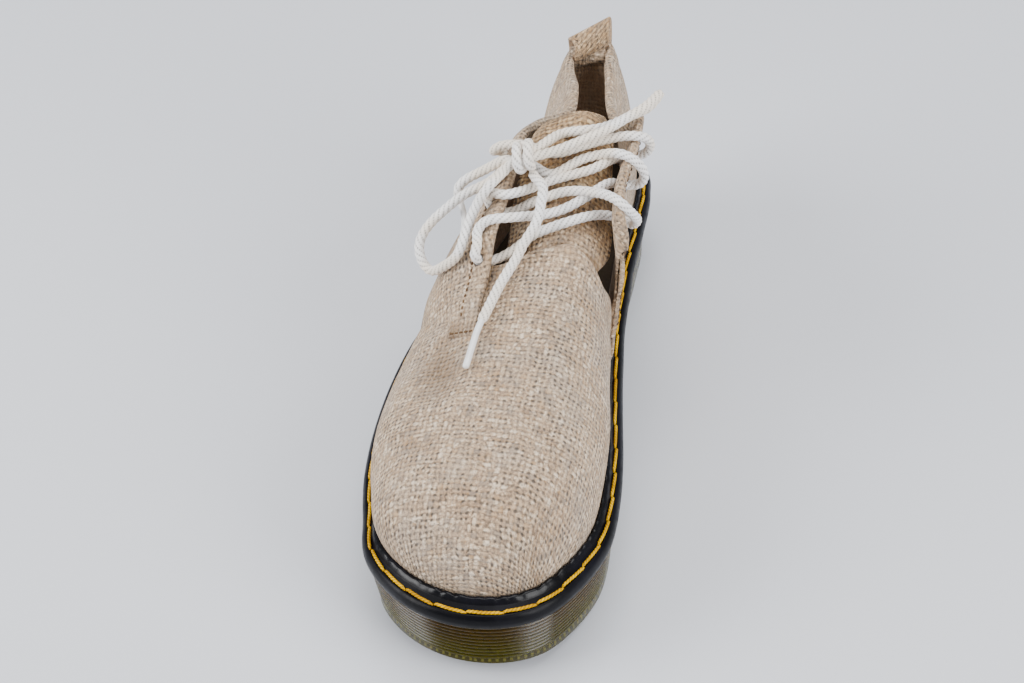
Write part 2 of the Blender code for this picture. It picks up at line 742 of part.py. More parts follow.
# Lace
def tube(name, route, step, group=SHOE, aglet=0.0):
    """Round cord along a smooth curve through the route; its last stretch of length aglet is thinner."""
    route = np.array(route, float)
    along = np.concatenate([[0.0], np.cumsum(np.linalg.norm(np.diff(route, axis=0), axis=1))])
    stops = np.linspace(0.0, along[-1], max(3, round(along[-1] / step) + 1))
    if aglet:
        tip = along[-1] - aglet
        ends = [tip - AGLET_STEP, tip + AGLET_STEP, along[-1]]
        stops = np.concatenate([stops[stops < tip - step / 2], ends])
    points = np.stack([smooth(along, route[:, axis], stops) for axis in range(3)], axis=-1) * MM
    curve = bpy.data.curves.new(name, "CURVE")
    curve.dimensions = "3D"
    curve.bevel_depth = LACE / 2 * MM
    curve.bevel_resolution = 2
    curve.use_fill_caps = True
    line = curve.splines.new("POLY")
    line.points.add(len(points) - 1)
    for knot, place, stop in zip(line.points, points, stops):
        knot.co = (*place, 1.0)
        knot.radius = AGLET if aglet and stop > along[-1] - aglet else 1.0
    drawn = bpy.data.objects.new(name + "_route", curve)
    CUTTERS.objects.link(drawn)
    mesh = bpy.data.meshes.new_from_object(drawn.evaluated_get(bpy.context.evaluated_depsgraph_get()))
    bpy.data.objects.remove(drawn, do_unlink=True)
    form = bmesh.new()
    form.from_mesh(mesh)
    bmesh.ops.remove_doubles(form, verts=form.verts, dist=MERGE * MM)
    bmesh.ops.recalc_face_normals(form, faces=form.faces)
    form.to_mesh(mesh)
    form.free()
    mesh.name = name
    mesh.shade_smooth()
    mesh.materials.clear()
    mesh.materials.append(material("lace"))
    made = bpy.data.objects.new(name, mesh)
    group.objects.link(made)
    return made


def make_crossing(name, routes):
    """Strands that touch where they cross, joined into one solid."""
    strand = tube(name, routes[0], LACE_STEP)
    for number, route in enumerate(routes[1:]):
        boolean(strand, cutter(tube(f"{name}_strand_{number}", route, LACE_STEP, CUTTERS)), "UNION")


def make_lace():
    make_crossing("lace_cross_top", CROSS_TOP)
    make_crossing("lace_cross_upper", CROSS_UPPER)
    make_crossing("lace_cross_lower", CROSS_LOWER)
    make_crossing("lace_bar_bottom", BAR_BOTTOM)
    tube("lace_knot", KNOT, LACE_STEP)
    tube("lace_loop_left", BOW_LEFT, CORD_STEP)
    tube("lace_loop_right", BOW_RIGHT, CORD_STEP)
    tube("lace_end_front", END_FRONT, CORD_STEP, aglet=AGLET_LENGTH)
    tube("lace_end_side", END_SIDE, CORD_STEP, aglet=AGLET_LENGTH)


make_outsole()
make_welt()
make_insole()
UPPER = make_upper()
make_tongue()
make_heel_loop()
make_eyelets(UPPER)
make_lace()
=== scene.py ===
"""Looks of a low open-laced derby shoe: coarse hemp cloth on a black welt and an olive ribbed sole.

Sizes are millimetres until a mesh is made.  The toe points to -Y and the inner side of the foot to +X.
"""
import math

import bmesh
import bpy
import numpy as np
from mathutils import Matrix, Vector


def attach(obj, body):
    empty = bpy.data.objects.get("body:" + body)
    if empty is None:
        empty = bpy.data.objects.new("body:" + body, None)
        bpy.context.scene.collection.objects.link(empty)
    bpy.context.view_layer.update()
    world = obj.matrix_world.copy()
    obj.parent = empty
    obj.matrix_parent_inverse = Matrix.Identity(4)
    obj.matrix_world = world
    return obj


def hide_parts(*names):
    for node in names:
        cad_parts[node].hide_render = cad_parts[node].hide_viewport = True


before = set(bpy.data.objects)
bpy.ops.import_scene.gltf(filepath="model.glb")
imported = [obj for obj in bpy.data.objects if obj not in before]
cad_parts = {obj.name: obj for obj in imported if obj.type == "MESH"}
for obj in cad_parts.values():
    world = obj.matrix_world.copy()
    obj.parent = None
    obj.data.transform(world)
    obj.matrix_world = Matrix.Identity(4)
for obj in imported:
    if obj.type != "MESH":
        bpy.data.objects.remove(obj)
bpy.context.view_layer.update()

# Outsole: one moulding of translucent olive rubber.  Its ribbed wall leans in towards the tread and ends
# in a row of small nibs; cross bars are cut under the forefoot and the heel.
MM = 0.001
MERGE = 0.00001
LENGTH = 300.0
AXIS_X = 6.75
TOE_RADIUS = 47.0
HEEL_RADIUS = 34.0
SIGN = {"outer": -1.0, "inner": 1.0}


def smooth(xs, ys, x):
    """Cubic curve through the points (xs, ys) that never swings past them.

    The slope at a point is the harmonic mean of the slopes beside it, or zero at a high or low point.
    """
    x = np.asarray(x, float)
    rate = np.diff(ys) / np.diff(xs)
    same = rate[:-1] * rate[1:] > 0
    slope = np.concatenate([rate[:1], np.zeros(len(rate) - 1), rate[-1:]])
    slope[1:-1][same] = 2 / (1 / rate[:-1][same] + 1 / rate[1:][same])
    i = np.clip(np.searchsorted(xs, x, side="right") - 1, 0, len(xs) - 2)
    step = xs[i + 1] - xs[i]
    u = np.clip((x - xs[i]) / step, 0.0, 1.0)
    start = (1 + 2 * u) * (1 - u) ** 2 * ys[i] + u * (1 - u) ** 2 * step * slope[i]
    end = u * u * (3 - 2 * u) * ys[i + 1] + u * u * (u - 1) * step * slope[i + 1]
    return start + end


class Table:
    """Rows of sizes under named columns.  A call reads one column as a smooth curve of the first."""

    def __init__(self, columns, *rows):
        values = np.array(rows, float).T
        self.columns = dict(zip(columns.split(), values))
        self.key = values[0]

    def __call__(self, column, x):
        return smooth(self.key, self.columns[column], x)


WIDTHS = Table(
    "from_toe outer inner",
    (25, 44.6, 38.2),
    (50, 53.4, 46.8),
    (75, 59.3, 47.4),
    (100, 61.5, 44.9),
    (125, 61.2, 41.0),
    (150, 58.5, 37.5),
    (180, 50.5, 34.2),
    (210, 43.0, 33.0),
    (240, 35.8, 33.5),
    (270, 31.5, 33.0),
    (285, 28.0, 29.0),
)
HEEL_BREAST = 203.0
BREAST_HALF = 2.0
SIDE = Table(
    "from_toe welt_top tread",
    (0, 41.0, 8.5),
    (20, 38.4, 4.2),
    (40, 36.0, 1.2),
    (55, 34.6, 0.0),
    (85, 33.4, 0.0),
    (140, 33.6, 0.0),
    (165, 34.2, 3.0),
    (185, 34.9, 4.6),
    (HEEL_BREAST - BREAST_HALF, 35.6, 4.6),
    (HEEL_BREAST + BREAST_HALF, 35.8, 0.0),
    (265, 38.0, 0.0),
    (290, 38.8, 0.0),
    (300, 39.0, 1.5),
)


def bell(from_toe):
    """Round-ended unit outline: 0 at toe tip and heel, 1 in the middle."""
    part = np.clip(np.asarray(from_toe, float) / LENGTH, 0.0, 1.0)
    return 2 * np.sqrt(part * (1 - part))


def fullness_rows():
    """Half widths over the bell; at an end this tends to the root of radius times half the length."""
    toe, heel = (math.sqrt(radius * LENGTH / 2) for radius in (TOE_RADIUS, HEEL_RADIUS))
    rows = [(0.0, toe, toe)]
    for station, outer, inner in zip(*WIDTHS.columns.values()):
        rows.append((station, outer / bell(station), inner / bell(station)))
    rows.append((LENGTH, heel, heel))
    return rows


FULLNESS = Table("from_toe outer inner", *fullness_rows())


def turn_of(from_toe):
    """Angle that runs from 0 at the toe tip to pi at the heel."""
    return np.arccos(np.clip(1 - 2 * np.asarray(from_toe, float) / LENGTH, -1, 1))


def from_toe_of(turn):
    """Distance from the toe tip at such an angle: half the length times one minus its cosine."""
    return LENGTH * (1 - np.cos(turn)) / 2


def edge_point(side, turn):
    """Point of the welt's edge: the bell's height times the fullness, to one side of the axis."""
    station = from_toe_of(turn)
    x = AXIS_X + SIGN[side] * np.sin(turn) * FULLNESS(side, station)
    return np.stack([x, station - LENGTH / 2], axis=-1)


def unit(vectors):
    """Vectors divided by their lengths; one without any length stays zero."""
    return vectors / np.maximum(np.linalg.norm(vectors, axis=-1, keepdims=True), 1e-9)


def plan(side, turn, inset):
    """Plan points a distance inside the welt's edge, and the outward direction there."""
    small = 1e-3
    along = edge_point(side, turn + small) - edge_point(side, turn - small)
    outward = unit(np.stack([along[..., 1], -along[..., 0]], axis=-1) * SIGN[side])
    return edge_point(side, turn) - outward * np.asarray(inset, float)[..., None], outward


WELT_HEIGHT = 6.5


def height(column, y):
    """Height of a line of the side view at y, which counts from the middle of the length."""
    return SIDE(column, np.clip(y + LENGTH / 2, 0.0, LENGTH))


def welt_top(y):
    """Height of the welt's upper edge."""
    return height("welt_top", y)


def sole_top(y):
    """Height of the sole's upper face, a welt's height below the welt's edge."""
    return welt_top(y) - WELT_HEIGHT


def tread_height(y):
    """Height of the tread over the floor, with toe spring, arch and heel breast."""
    return height("tread", y)


def rings(turns, outer_inset, inner_inset, lift_from):
    """Closed loops around the shoe, one row each: toe, outer side, heel, back along the inner side.

    The insets have one row for each loop.  lift_from gives the height for the points' y.
    """
    shape = np.broadcast_shapes(np.shape(outer_inset), (1, len(turns)))
    outer = plan("outer", np.broadcast_to(turns, shape), np.broadcast_to(outer_inset, shape))[0]
    inner = plan("inner", np.broadcast_to(turns, shape), np.broadcast_to(inner_inset, shape))[0]
    flat = np.concatenate([outer, inner[:, -2::-1]], axis=1)
    return np.concatenate([flat, lift_from(flat[..., 1])[..., None]], axis=-1)


def along_rows(points):
    """Length along each row of a grid, from its first point."""
    steps = np.linalg.norm(np.diff(points, axis=1), axis=-1)
    return np.concatenate([np.zeros((len(points), 1)), np.cumsum(steps, axis=1)], axis=1)


def along_columns(points):
    """Length along each column of a grid, from its first point."""
    return along_rows(points.swapaxes(0, 1)).swapaxes(0, 1)


def quads(rows, columns):
    """Corner numbers of a grid's faces."""
    index = np.arange(rows * columns).reshape(rows, columns)
    return np.stack([index[:-1, :-1], index[:-1, 1:], index[1:, 1:], index[1:, :-1]], axis=-1).reshape(-1, 4)


def piece(name, patches, finish, slot, *nodes, sharp=None):
    """Object from grids of points.  A patch is its points, its UVs and a dict of marks for the points.

    Points that patches share are merged, and the faces are turned outwards.
    """
    points, faces, uvs = [], [], []
    marks = {mark: [] for _, _, found in patches for mark in found}
    start = 0
    for grid, uv, found in patches:
        rows, columns = grid.shape[:2]
        faces.append(quads(rows, columns) + start)
        points.append(grid.reshape(-1, 3) * MM)
        uvs.append(np.broadcast_to(uv, (rows, columns, 2)).reshape(-1, 2))
        for mark, values in marks.items():
            values.append(np.broadcast_to(found.get(mark, 0.0), (rows, columns)).ravel())
        start += rows * columns
    faces = np.concatenate(faces)
    mesh = bpy.data.meshes.new(name)
    mesh.from_pydata(np.concatenate(points).tolist(), [], faces.tolist())
    layer = mesh.uv_layers.new(name="cut")
    layer.data.foreach_set("uv", np.concatenate(uvs)[faces.ravel()].ravel().astype(np.float32))
    for mark, values in marks.items():
        attribute = mesh.attributes.new(mark, "FLOAT", "POINT")
        attribute.data.foreach_set("value", np.concatenate(values).astype(np.float32))
    form = bmesh.new()
    form.from_mesh(mesh)
    bmesh.ops.remove_doubles(form, verts=form.verts, dist=MERGE)
    bmesh.ops.dissolve_degenerate(form, edges=form.edges, dist=MERGE / 10)
    bmesh.ops.recalc_face_normals(form, faces=form.faces)
    form.to_mesh(mesh)
    form.free()
    mesh.shade_smooth()
    if sharp:
        mesh.set_sharp_from_angle(angle=math.radians(sharp))
    mesh.materials.append(finish.material)
    made = bpy.data.objects.new(name, mesh)
    bpy.context.scene.collection.objects.link(made)
    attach(made, "root")
    if nodes:
        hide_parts(*nodes)
    return made


class Finish:
    """Material with one Principled shader, whose even values are set on its own sockets."""

    def __init__(self, name, even):
        self.material = bpy.data.materials.new(name)
        self.material.use_nodes = True
        self.tree = self.material.node_tree
        self.shader = self.tree.nodes["Principled BSDF"]
        for socket, value in even.items():
            self.shader.inputs[socket].default_value = value

    def node(self, kind, settings=None, inputs=None, output=0):
        """Add a node: its settings first, then the values or links of its sockets."""
        made = self.tree.nodes.new("ShaderNode" + kind)
        for key, value in (settings or {}).items():
            if key == "stops":
                ramp = made.color_ramp.elements
                for _ in range(len(value) - len(ramp)):
                    ramp.new(0.5)
                for element, (position, colour) in zip(ramp, value):
                    element.position = position
                    element.color = (*colour, 1.0)
            else:
                setattr(made, key, value)
        for key, value in (inputs or {}).items():
            if isinstance(value, Shade):
                self.tree.links.new(value.socket, made.inputs[key])
            else:
                made.inputs[key].default_value = value
        return Shade(self, made.outputs[output])

    def mix(self, share, first, second, blend="MIX"):
        """Colour between two colours."""
        colours = {0: share, 6: first, 7: second}
        for key in (6, 7):
            if not isinstance(colours[key], Shade):
                colours[key] = (*colours[key], 1.0)
        return self.node("Mix", {"data_type": "RGBA", "blend_type": blend}, colours, output=2)

    def place(self):
        """Where a point lies, in metres."""
        return self.node("TexCoord", output="Object")

    def cut(self):
        """Where a point lies on the flat cut of its piece, or around and along its cord."""
        return self.node("UVMap", {"uv_map": "cut"})

    def noise(self, place, scale, detail=2.0, roughness=0.5, output="Fac"):
        """Cloudy noise around 0.5; the output Color holds three that differ."""
        inputs = {"Vector": place, "Scale": scale, "Detail": detail, "Roughness": roughness}
        return self.node("TexNoise", {"noise_dimensions": "3D"}, inputs, output)

    def chance(self, cell):
        """Even chance from 0 to 1, the same all over a cell with whole numbers."""
        return self.node("TexWhiteNoise", {"noise_dimensions": "3D"}, {"Vector": cell})

    def mark(self, name):
        """Mark that the points of a piece carry."""
        return self.node("Attribute", {"attribute_name": name}, output="Fac")

    def vector(self, x, y=0.0, z=0.0):
        """Vector from three values."""
        return self.node("CombineXYZ", None, {"X": x, "Y": y, "Z": z})

    def split(self, place):
        """The three values of a vector."""
        return [self.node("SeparateXYZ", None, {"Vector": place}, axis) for axis in "XYZ"]

    def set(self, socket, value):
        """Feed a socket of the shader."""
        self.tree.links.new(value.socket, self.shader.inputs[socket])

    def bump(self, relief, depth, strength=1.0):
        """Relief of a given depth in millimetres."""
        inputs = {"Height": relief, "Distance": depth * MM, "Strength": strength}
        self.set("Normal", self.node("Bump", None, inputs))


class Shade:
    """A socket of a material; arithmetic on it adds Math nodes."""

    def __init__(self, finish, socket):
        self.finish = finish
        self.socket = socket

    def math(self, operation, *others):
        """Math node on this value and any others."""
        return self.finish.node("Math", {"operation": operation}, dict(enumerate((self, *others))))

    def __add__(self, other):
        return self.math("ADD", other)

    def __sub__(self, other):
        return self.math("SUBTRACT", other)

    def __rsub__(self, other):
        return self.math("MULTIPLY_ADD", -1.0, other)

    def __mul__(self, other):
        return self.math("MULTIPLY", other)

    def __truediv__(self, other):
        return self.math("DIVIDE", other)

    def __pow__(self, other):
        return self.math("POWER", other)

    __radd__ = __add__
    __rmul__ = __mul__

    def between(self, low, high):
        """0 below low, 1 above high, smooth in between."""
        inputs = {"Value": self, "From Min": low, "From Max": high}
        return self.finish.node("MapRange", {"interpolation_type": "SMOOTHSTEP"}, inputs)


SOLE_INSET = 1.2
SOLE_LEAN = 0.12
RIB_COUNT = 10
RIB_BAND = 23.0
RIB_DEPTH = 0.9
RIB_ROUND = 0.6
RIB_SAMPLES = 8
FOOT_CHAMFER = 1.4
FOOT_SHARES = (0.15, 0.4, 0.75, 1.0)
FOOT_RUN = 3.0
GROOVE_WIDTH = 5.0
GROOVE_DEPTH = 3.0
GROOVE_MARGIN = 12.0
GROOVE_WALL = 0.2
GROOVES = np.concatenate([np.arange(64.0, 140.0, 15.0), np.arange(221.0, 285.0, 15.0)])
SOLE_STATIONS = 221
SOLE_ACROSS = 41
NIB_PITCH = 3.0
DULL_TIP = (11.0, 21.0)


def sole_turns():
    """Stations around the plan, with one on each side of every groove's edges and of the heel breast."""
    edges = [HEEL_BREAST - BREAST_HALF, HEEL_BREAST + BREAST_HALF]
    for edge in (-GROOVE_WIDTH / 2, GROOVE_WIDTH / 2):
        for side in (-GROOVE_WALL, GROOVE_WALL):
            edges.extend(GROOVES + edge + side)
    return np.unique(np.concatenate([np.linspace(0, math.pi, SOLE_STATIONS), turn_of(edges)]))


def sole_patches():
    """Ribbed wall, tread and lid.

    The wall's inset is the lean plus a rib wave, a power of a half sine for each rib.  Below the ribs it
    ends in a rounded foot, in rings at shares of the foot's chamfer.  The tread runs straight across from
    edge to edge, and rises to the grooves' depth between their walls.
    """
    turns = sole_turns()
    depth = np.linspace(0, RIB_BAND, RIB_COUNT * RIB_SAMPLES + 1)[:, None]
    wave = np.abs(np.sin(math.pi * depth * RIB_COUNT / RIB_BAND)) ** RIB_ROUND
    inset = SOLE_INSET + SOLE_LEAN * depth + RIB_DEPTH * (1 - wave)
    wall = rings(turns, inset, inset, sole_top)
    wall[..., 2] -= depth
    share = np.array(FOOT_SHARES)[:, None]
    foot_inset = SOLE_INSET + SOLE_LEAN * RIB_BAND + share * FOOT_CHAMFER
    foot = rings(turns, foot_inset, foot_inset, tread_height)
    foot[..., 2] += FOOT_CHAMFER * (1 - share) ** 2
    wall = np.concatenate([wall, foot])
    around = np.broadcast_to(along_rows(wall[:1]), wall.shape[:2])
    down = np.broadcast_to(np.concatenate([depth, RIB_BAND + FOOT_RUN * share]), wall.shape[:2])
    count = len(turns)
    across = np.linspace(0, 1, SOLE_ACROSS)[:, None, None]
    outer, inner = wall[-1, :count], wall[-1, count - 1:][::-1]
    tread = outer * (1 - across) + inner * across
    tread[1:-1, :, 2] = tread_height(tread[1:-1, :, 1])
    station = tread[..., 1] + LENGTH / 2
    nearest = np.abs(station[..., None] - GROOVES).min(axis=-1)
    width = np.linalg.norm(inner - outer, axis=-1)
    margin = np.minimum(across, 1 - across)[..., 0] * width
    cut = (nearest < GROOVE_WIDTH / 2) & (margin > GROOVE_MARGIN)
    tread[..., 2] = np.where(cut, GROOVE_DEPTH, tread[..., 2])
    lid = wall[0, :count] * (1 - across) + wall[0, count - 1:][::-1] * across
    flat = {"tread": 1.0}
    return [
        (wall, np.stack([around, down], axis=-1), {"tread": 0.0}),
        (tread, tread[..., :2], flat),
        (lid, lid[..., :2], flat),
    ]


def sole_finish():
    """Translucent rubber, brown under the welt and olive towards the floor, with small nibs at the foot.

    The tips of toe and heel are rubbed dull; the sides keep their gloss.  Shade is painted into the valleys
    between the ribs, and light is painted on the nibs at the foot.
    """
    clear = {"Subsurface Weight": 0.6, "Subsurface Radius": (1.0, 0.7, 0.2), "Subsurface Scale": 0.004}
    sole = Finish("olive_rubber", {"IOR": 1.2, "Coat Roughness": 0.06, **clear})
    place = sole.place()
    around, down, _ = sole.split(sole.cut())
    wave = (down * (math.pi * RIB_COUNT / RIB_BAND)).math("SINE").math("ABSOLUTE")
    cloud = sole.noise(place, 28.0, 4.0).between(0.3, 0.7)
    brown = sole.mix(cloud, (0.025, 0.0125, 0.0001), (0.034, 0.0185, 0.0002))
    olive = sole.mix(cloud, (0.031, 0.0255, 0.0003), (0.043, 0.037, 0.0006))
    colour = sole.mix(down.between(1.0, RIB_BAND), brown, olive)
    # Painted shade: the valleys between the ribs are mixed darker.
    colour = sole.mix((1 - wave.between(0.15, 0.7)) * 0.4, colour, (0.010, 0.006, 0.0001))
    nibs = (around * (2 * math.pi / NIB_PITCH)).math("SINE").between(0.1, 0.6)
    band = down.between(RIB_BAND + 0.04, RIB_BAND + 0.14)
    band = band * (1 - down.between(RIB_BAND + 0.26, RIB_BAND + 0.38))
    # Painted light: the nibs at the foot of the wall are mixed lighter, where they would catch the light.
    colour = sole.mix(nibs * band * (1 - sole.mark("tread")) * 0.8, colour, (0.12, 0.108, 0.015))
    sole.set("Base Color", colour)
    scuff = sole.noise(place, 180.0, 6.0, 0.65)
    sole.set("Roughness", 0.25 + scuff.between(0.4, 0.8) * 0.25)
    aside = (sole.split(place)[0] - AXIS_X * MM).math("ABSOLUTE")
    sole.set("Coat Weight", 0.04 + aside.between(*(half * MM for half in DULL_TIP)) * 0.46)
    sole.bump(scuff * 0.3 + nibs * band * 0.8, 0.3, 0.5)
    return sole


piece("sole_moulding", sole_patches(), sole_finish(), "sole", "outsole", sharp=50)

# Welt: black rubber ring moulded around the foot of the upper and sewn to it.  A smooth band faces out, the
# stitch lies in a groove, and a shiny, slightly ragged lip closes on the cloth.
WELT_GAP = 0.6
WELT_PROFILE = Table(
    "order inset lift",
    (0, 0.2, 0.3 - WELT_HEIGHT),
    (1, 0.0, -4.4),
    (2, 0.3, -2.6),
    (3, 1.0, -1.2),
    (4, 2.2, -0.3),
    (5, 3.3, -0.8),
    (6, 4.0, 0.0),
)
WELT_LIP = Table(
    "order share lift",
    (0, 1.0, 0.2),
    (1, 0.75, 1.3),
    (2, 0.42, 2.3),
    (3, 0.15, 2.5),
    (4, 0.0, 1.8),
    (5, -0.1, 0.2),
    (6, -0.1, 0.3 - WELT_HEIGHT),
)
LIP_ROOM = (1.3, 3.2)
CLOTH_INSET = Table(
    "from_toe outer inner",
    (0, 10.6, 10.6),
    (40, 7.6, 8.6),
    (90, 6.0, 7.6),
    (150, 6.0, 7.6),
    (210, 6.4, 7.2),
    (300, 6.8, 6.8),
)
WELT_TURNS = np.linspace(0, math.pi, 261)
WELT_STEPS = 37
LIP_STEPS = 31
LIP_CREST = 3
LIP_NOTCH = 0.3
LIP_NOTCH_RANGE = (-1.6, 0.6)
RIPPLE_COUNT = 24
RIPPLE_TURNS = (40, 150)
RIPPLE_SEED = 4


def ripple(length):
    """Uneven wave along a closed length: a sum of cosines, each with its own whole number of turns."""
    draw = np.random.default_rng(RIPPLE_SEED)
    turns = draw.integers(*RIPPLE_TURNS, RIPPLE_COUNT)
    phase = draw.uniform(0, 2 * math.pi, RIPPLE_COUNT)
    angle = 2 * math.pi * length / length.max()
    return np.cos(angle[..., None] * turns + phase).sum(axis=-1) / math.sqrt(RIPPLE_COUNT / 2)


def welt_patches():
    """Section carried around the shoe: outer band, groove, lip, and back down beside the cloth.

    The lip's crest is ragged: its height follows an uneven wave around the shoe.
    """
    order = np.linspace(0, WELT_PROFILE.key[-1], WELT_STEPS)[:, None]
    inset = WELT_PROFILE("inset", order)
    band = rings(WELT_TURNS, inset, inset, welt_top)
    band[..., 2] += WELT_PROFILE("lift", order)
    order = np.linspace(0, WELT_LIP.key[-1], LIP_STEPS)[:, None]
    station = from_toe_of(WELT_TURNS)
    sides = []
    for side in ("outer", "inner"):
        end = CLOTH_INSET(side, station)[None] - WELT_GAP
        room = np.clip(end - WELT_PROFILE.columns["inset"][-1], *LIP_ROOM)
        sides.append(end - WELT_LIP("share", order) * room)
    lip = rings(WELT_TURNS, *sides, welt_top)
    around = along_rows(lip[:1])
    ragged = LIP_NOTCH * np.clip(ripple(around), *LIP_NOTCH_RANGE)
    near = np.clip(order, 0, LIP_CREST) / LIP_CREST * (order < 5.5)
    lip[..., 2] += WELT_LIP("lift", order) + ragged * near
    section = np.concatenate([band, lip, band[:1]])
    down = np.arange(len(section))[:, None]
    uv = np.stack(np.broadcast_arrays(along_rows(band[:1]), down), axis=-1)
    shine = np.zeros(section.shape[:2])
    shine[len(band):-1] = np.sin(math.pi * np.clip(order, 0, 4) / 4)
    return [(section, uv, {"lip": shine})]


def welt_finish():
    """Black satin rubber with a bluish bloom, faint dust and fine scratches; the lip is glossier."""
    welt = Finish("black_rubber", {"IOR": 1.2, "Coat Roughness": 0.15})
    place = welt.place()
    bloom = welt.noise(place, 35.0, 5.0, 0.6)
    dust = welt.noise(place, 900.0, 3.0, 0.7)
    colour = welt.mix(bloom.between(0.35, 0.75), (0.002, 0.002, 0.003), (0.006, 0.006, 0.010))
    colour = welt.mix(dust.between(0.68, 0.8) * 0.3, colour, (0.06, 0.055, 0.05))
    welt.set("Base Color", colour)
    scratch = welt.noise(place, 220.0, 6.0, 0.7)
    lip = welt.mark("lip")
    welt.set("Roughness", 0.30 + scratch.between(0.35, 0.75) * 0.2 - lip * 0.1)
    welt.set("Coat Weight", 0.02 + lip * 0.22)
    welt.bump(scratch * 0.6 + bloom, 0.25, 0.4)
    return welt


piece("welt_ring", welt_patches(), welt_finish(), "welt", "welt")

# Welt stitches: golden twisted thread laid in the welt's groove, long stitches that dive into the rubber
# and overlap a little, each one slightly askew.
STITCH_PITCH = 13.6
STITCH_LENGTH = 14.4
STITCH_INSET = 3.25
STITCH_LIFT = 0.15
STITCH_DIVE = 1.5
STITCH_ASKEW = 0.66
STITCH_SEED = 11
THREAD = 1.45
THREAD_LAY = 3.2


def upright_sides(path):
    """Two directions across each of many paths: one that points upwards, and a level one."""
    tangent = unit(np.gradient(path, axis=-2))
    side = unit(np.cross(tangent, [0.0, 0.0, 1.0]))
    return np.cross(side, tangent), side


def line_points(line, far, at):
    """Points of a line at given lengths along it, where far holds the lengths at its own points."""
    return np.stack([np.interp(at, far, line[:, axis]) for axis in range(3)], axis=-1)


def threads(path, up, side, diameter, lay, steps=10):
    """Thread of two plies carried along each path.

    The section's radius is a lobe for each ply, turned by a full turn in each lay, and it shrinks to
    nothing at both ends.  path has the shape (thread, step, 3).
    """
    run = along_rows(path)[..., None]
    angle = np.linspace(0, 2 * math.pi, steps + 1)
    lobe = 0.70 + 0.30 * np.abs(np.cos(angle + 2 * math.pi * run / lay))
    part = np.linspace(-1, 1, path.shape[1])[:, None]
    round_end = np.sqrt(np.clip(1 - part ** 8, 0, 1))
    radius = (diameter / 2 * lobe * round_end)[..., None]
    ring = np.cos(angle)[:, None] * up[:, :, None] + np.sin(angle)[:, None] * side[:, :, None]
    points = path[:, :, None] + radius * ring
    uv = np.stack(np.broadcast_arrays(angle / (2 * math.pi), run), axis=-1)
    return [(grid, cut, {"groove": 1 - shade}) for grid, cut, shade in zip(points, uv, lobe)]


def welt_stitches():
    """Stitches on pieces of the groove's line, set askew, with ends that dive by a high power."""
    inset = np.full((1, 1), STITCH_INSET)
    line = rings(np.linspace(0, math.pi, 601), inset, inset, welt_top)
    far = along_rows(line)[0]
    count = round(far[-1] / STITCH_PITCH)
    draw = np.random.default_rng(STITCH_SEED)
    part = np.linspace(-0.5, 0.5, 33)
    length = STITCH_LENGTH * draw.uniform(0.94, 1.04, (count, 1))
    at = (np.arange(count)[:, None] + 0.5) * far[-1] / count + part * length
    path = line_points(line[0], far, np.mod(at, far[-1]))
    up, side = upright_sides(path)
    askew = (STITCH_ASKEW + draw.uniform(-0.24, 0.24, (count, 1))) * part
    lift = STITCH_LIFT - STITCH_DIVE * np.abs(2 * part) ** 10 + draw.uniform(-0.08, 0.08, (count, 1))
    path = path + side * askew[..., None] + up * lift[..., None]
    return threads(path, *upright_sides(path), THREAD, THREAD_LAY)


def thread_finish(name, dark, light, gloss):
    """Waxed twisted thread with fine fibres along it, and shade painted into the groove between its plies."""
    thread = Finish(name, {"IOR": 1.15})
    place = thread.place()
    tone = thread.noise(place, 160.0, 3.0)
    colour = thread.mix(tone.between(0.3, 0.7), dark, light)
    groove = thread.mark("groove").between(0.04, 0.27)
    shade = tuple(0.3 * part for part in dark)
    # Painted shade in the groove between the plies.
    thread.set("Base Color", thread.mix(groove * 0.85, colour, shade))
    thread.set("Roughness", gloss + groove * 0.3)
    thread.bump(thread.noise(place, 2600.0, 2.0), 0.15, 0.6)
    return thread


gold = thread_finish("golden_thread", (0.46, 0.225, 0.0), (0.82, 0.47, 0.0), 0.5)
piece("welt_stitches", welt_stitches(), gold, "welt")

# Insole: soft brown footbed of brushed cloth over foam, cut to the inside of the upper.  It lies flat
# on the sole, with a rounded edge and a slightly dished top.
INSOLE_THICK = 5.0
INSOLE_INSET = 2.3
INSOLE_ROUND = 1.0
INSOLE_SEAT = 0.3
INSOLE_DISH = 1.6


def insole_patches():
    """Wall with a quarter-round edge, and faces that run straight across from edge to edge.

    The top is dished by the squares of a sine across it and one along it.
    """
    turns = np.linspace(0, math.pi, 91)
    station = from_toe_of(turns)
    bend = np.linspace(0, math.pi / 2, 6)[:, None]
    extra = np.concatenate([[[0.0]], INSOLE_ROUND * (1 - np.cos(bend))])
    lift = np.concatenate([[[0.0]], INSOLE_THICK - INSOLE_ROUND * (1 - np.sin(bend))])
    sides = [CLOTH_INSET(side, station)[None] + INSOLE_INSET + extra for side in ("outer", "inner")]
    wall = rings(turns, *sides, sole_top)
    wall[..., 2] += lift + INSOLE_SEAT
    count = len(turns)
    across = np.linspace(0, 1, 25)[:, None, None]
    patches = [(wall, wall[..., :2], {})]
    for row, dish in ((-1, INSOLE_DISH), (0, 0.0)):
        face = wall[row, :count] * (1 - across) + wall[row, count - 1:][::-1] * across
        face[..., 2] -= dish * np.sin(math.pi * across[..., 0]) ** 2 * np.sin(turns) ** 2
        patches.append((face, face[..., :2], {}))
    return patches


def footbed_finish():
    """Brown brushed cloth, rubbed darker where the foot stands."""
    bed = Finish("footbed", {"Roughness": 0.92, "Sheen Weight": 0.2})
    place = bed.place()
    wear = bed.noise(place, 24.0, 4.0)
    nap = bed.noise(place, 900.0, 4.0, 0.7)
    colour = bed.mix(wear.between(0.35, 0.7), (0.035, 0.022, 0.012), (0.06, 0.04, 0.022))
    bed.set("Base Color", bed.mix(nap.between(0.4, 0.7) * 0.5, colour, (0.025, 0.015, 0.008)))
    bed.bump(nap, 0.4, 0.5)
    return bed


piece("footbed", insole_patches(), footbed_finish(), "footbed", "insole")

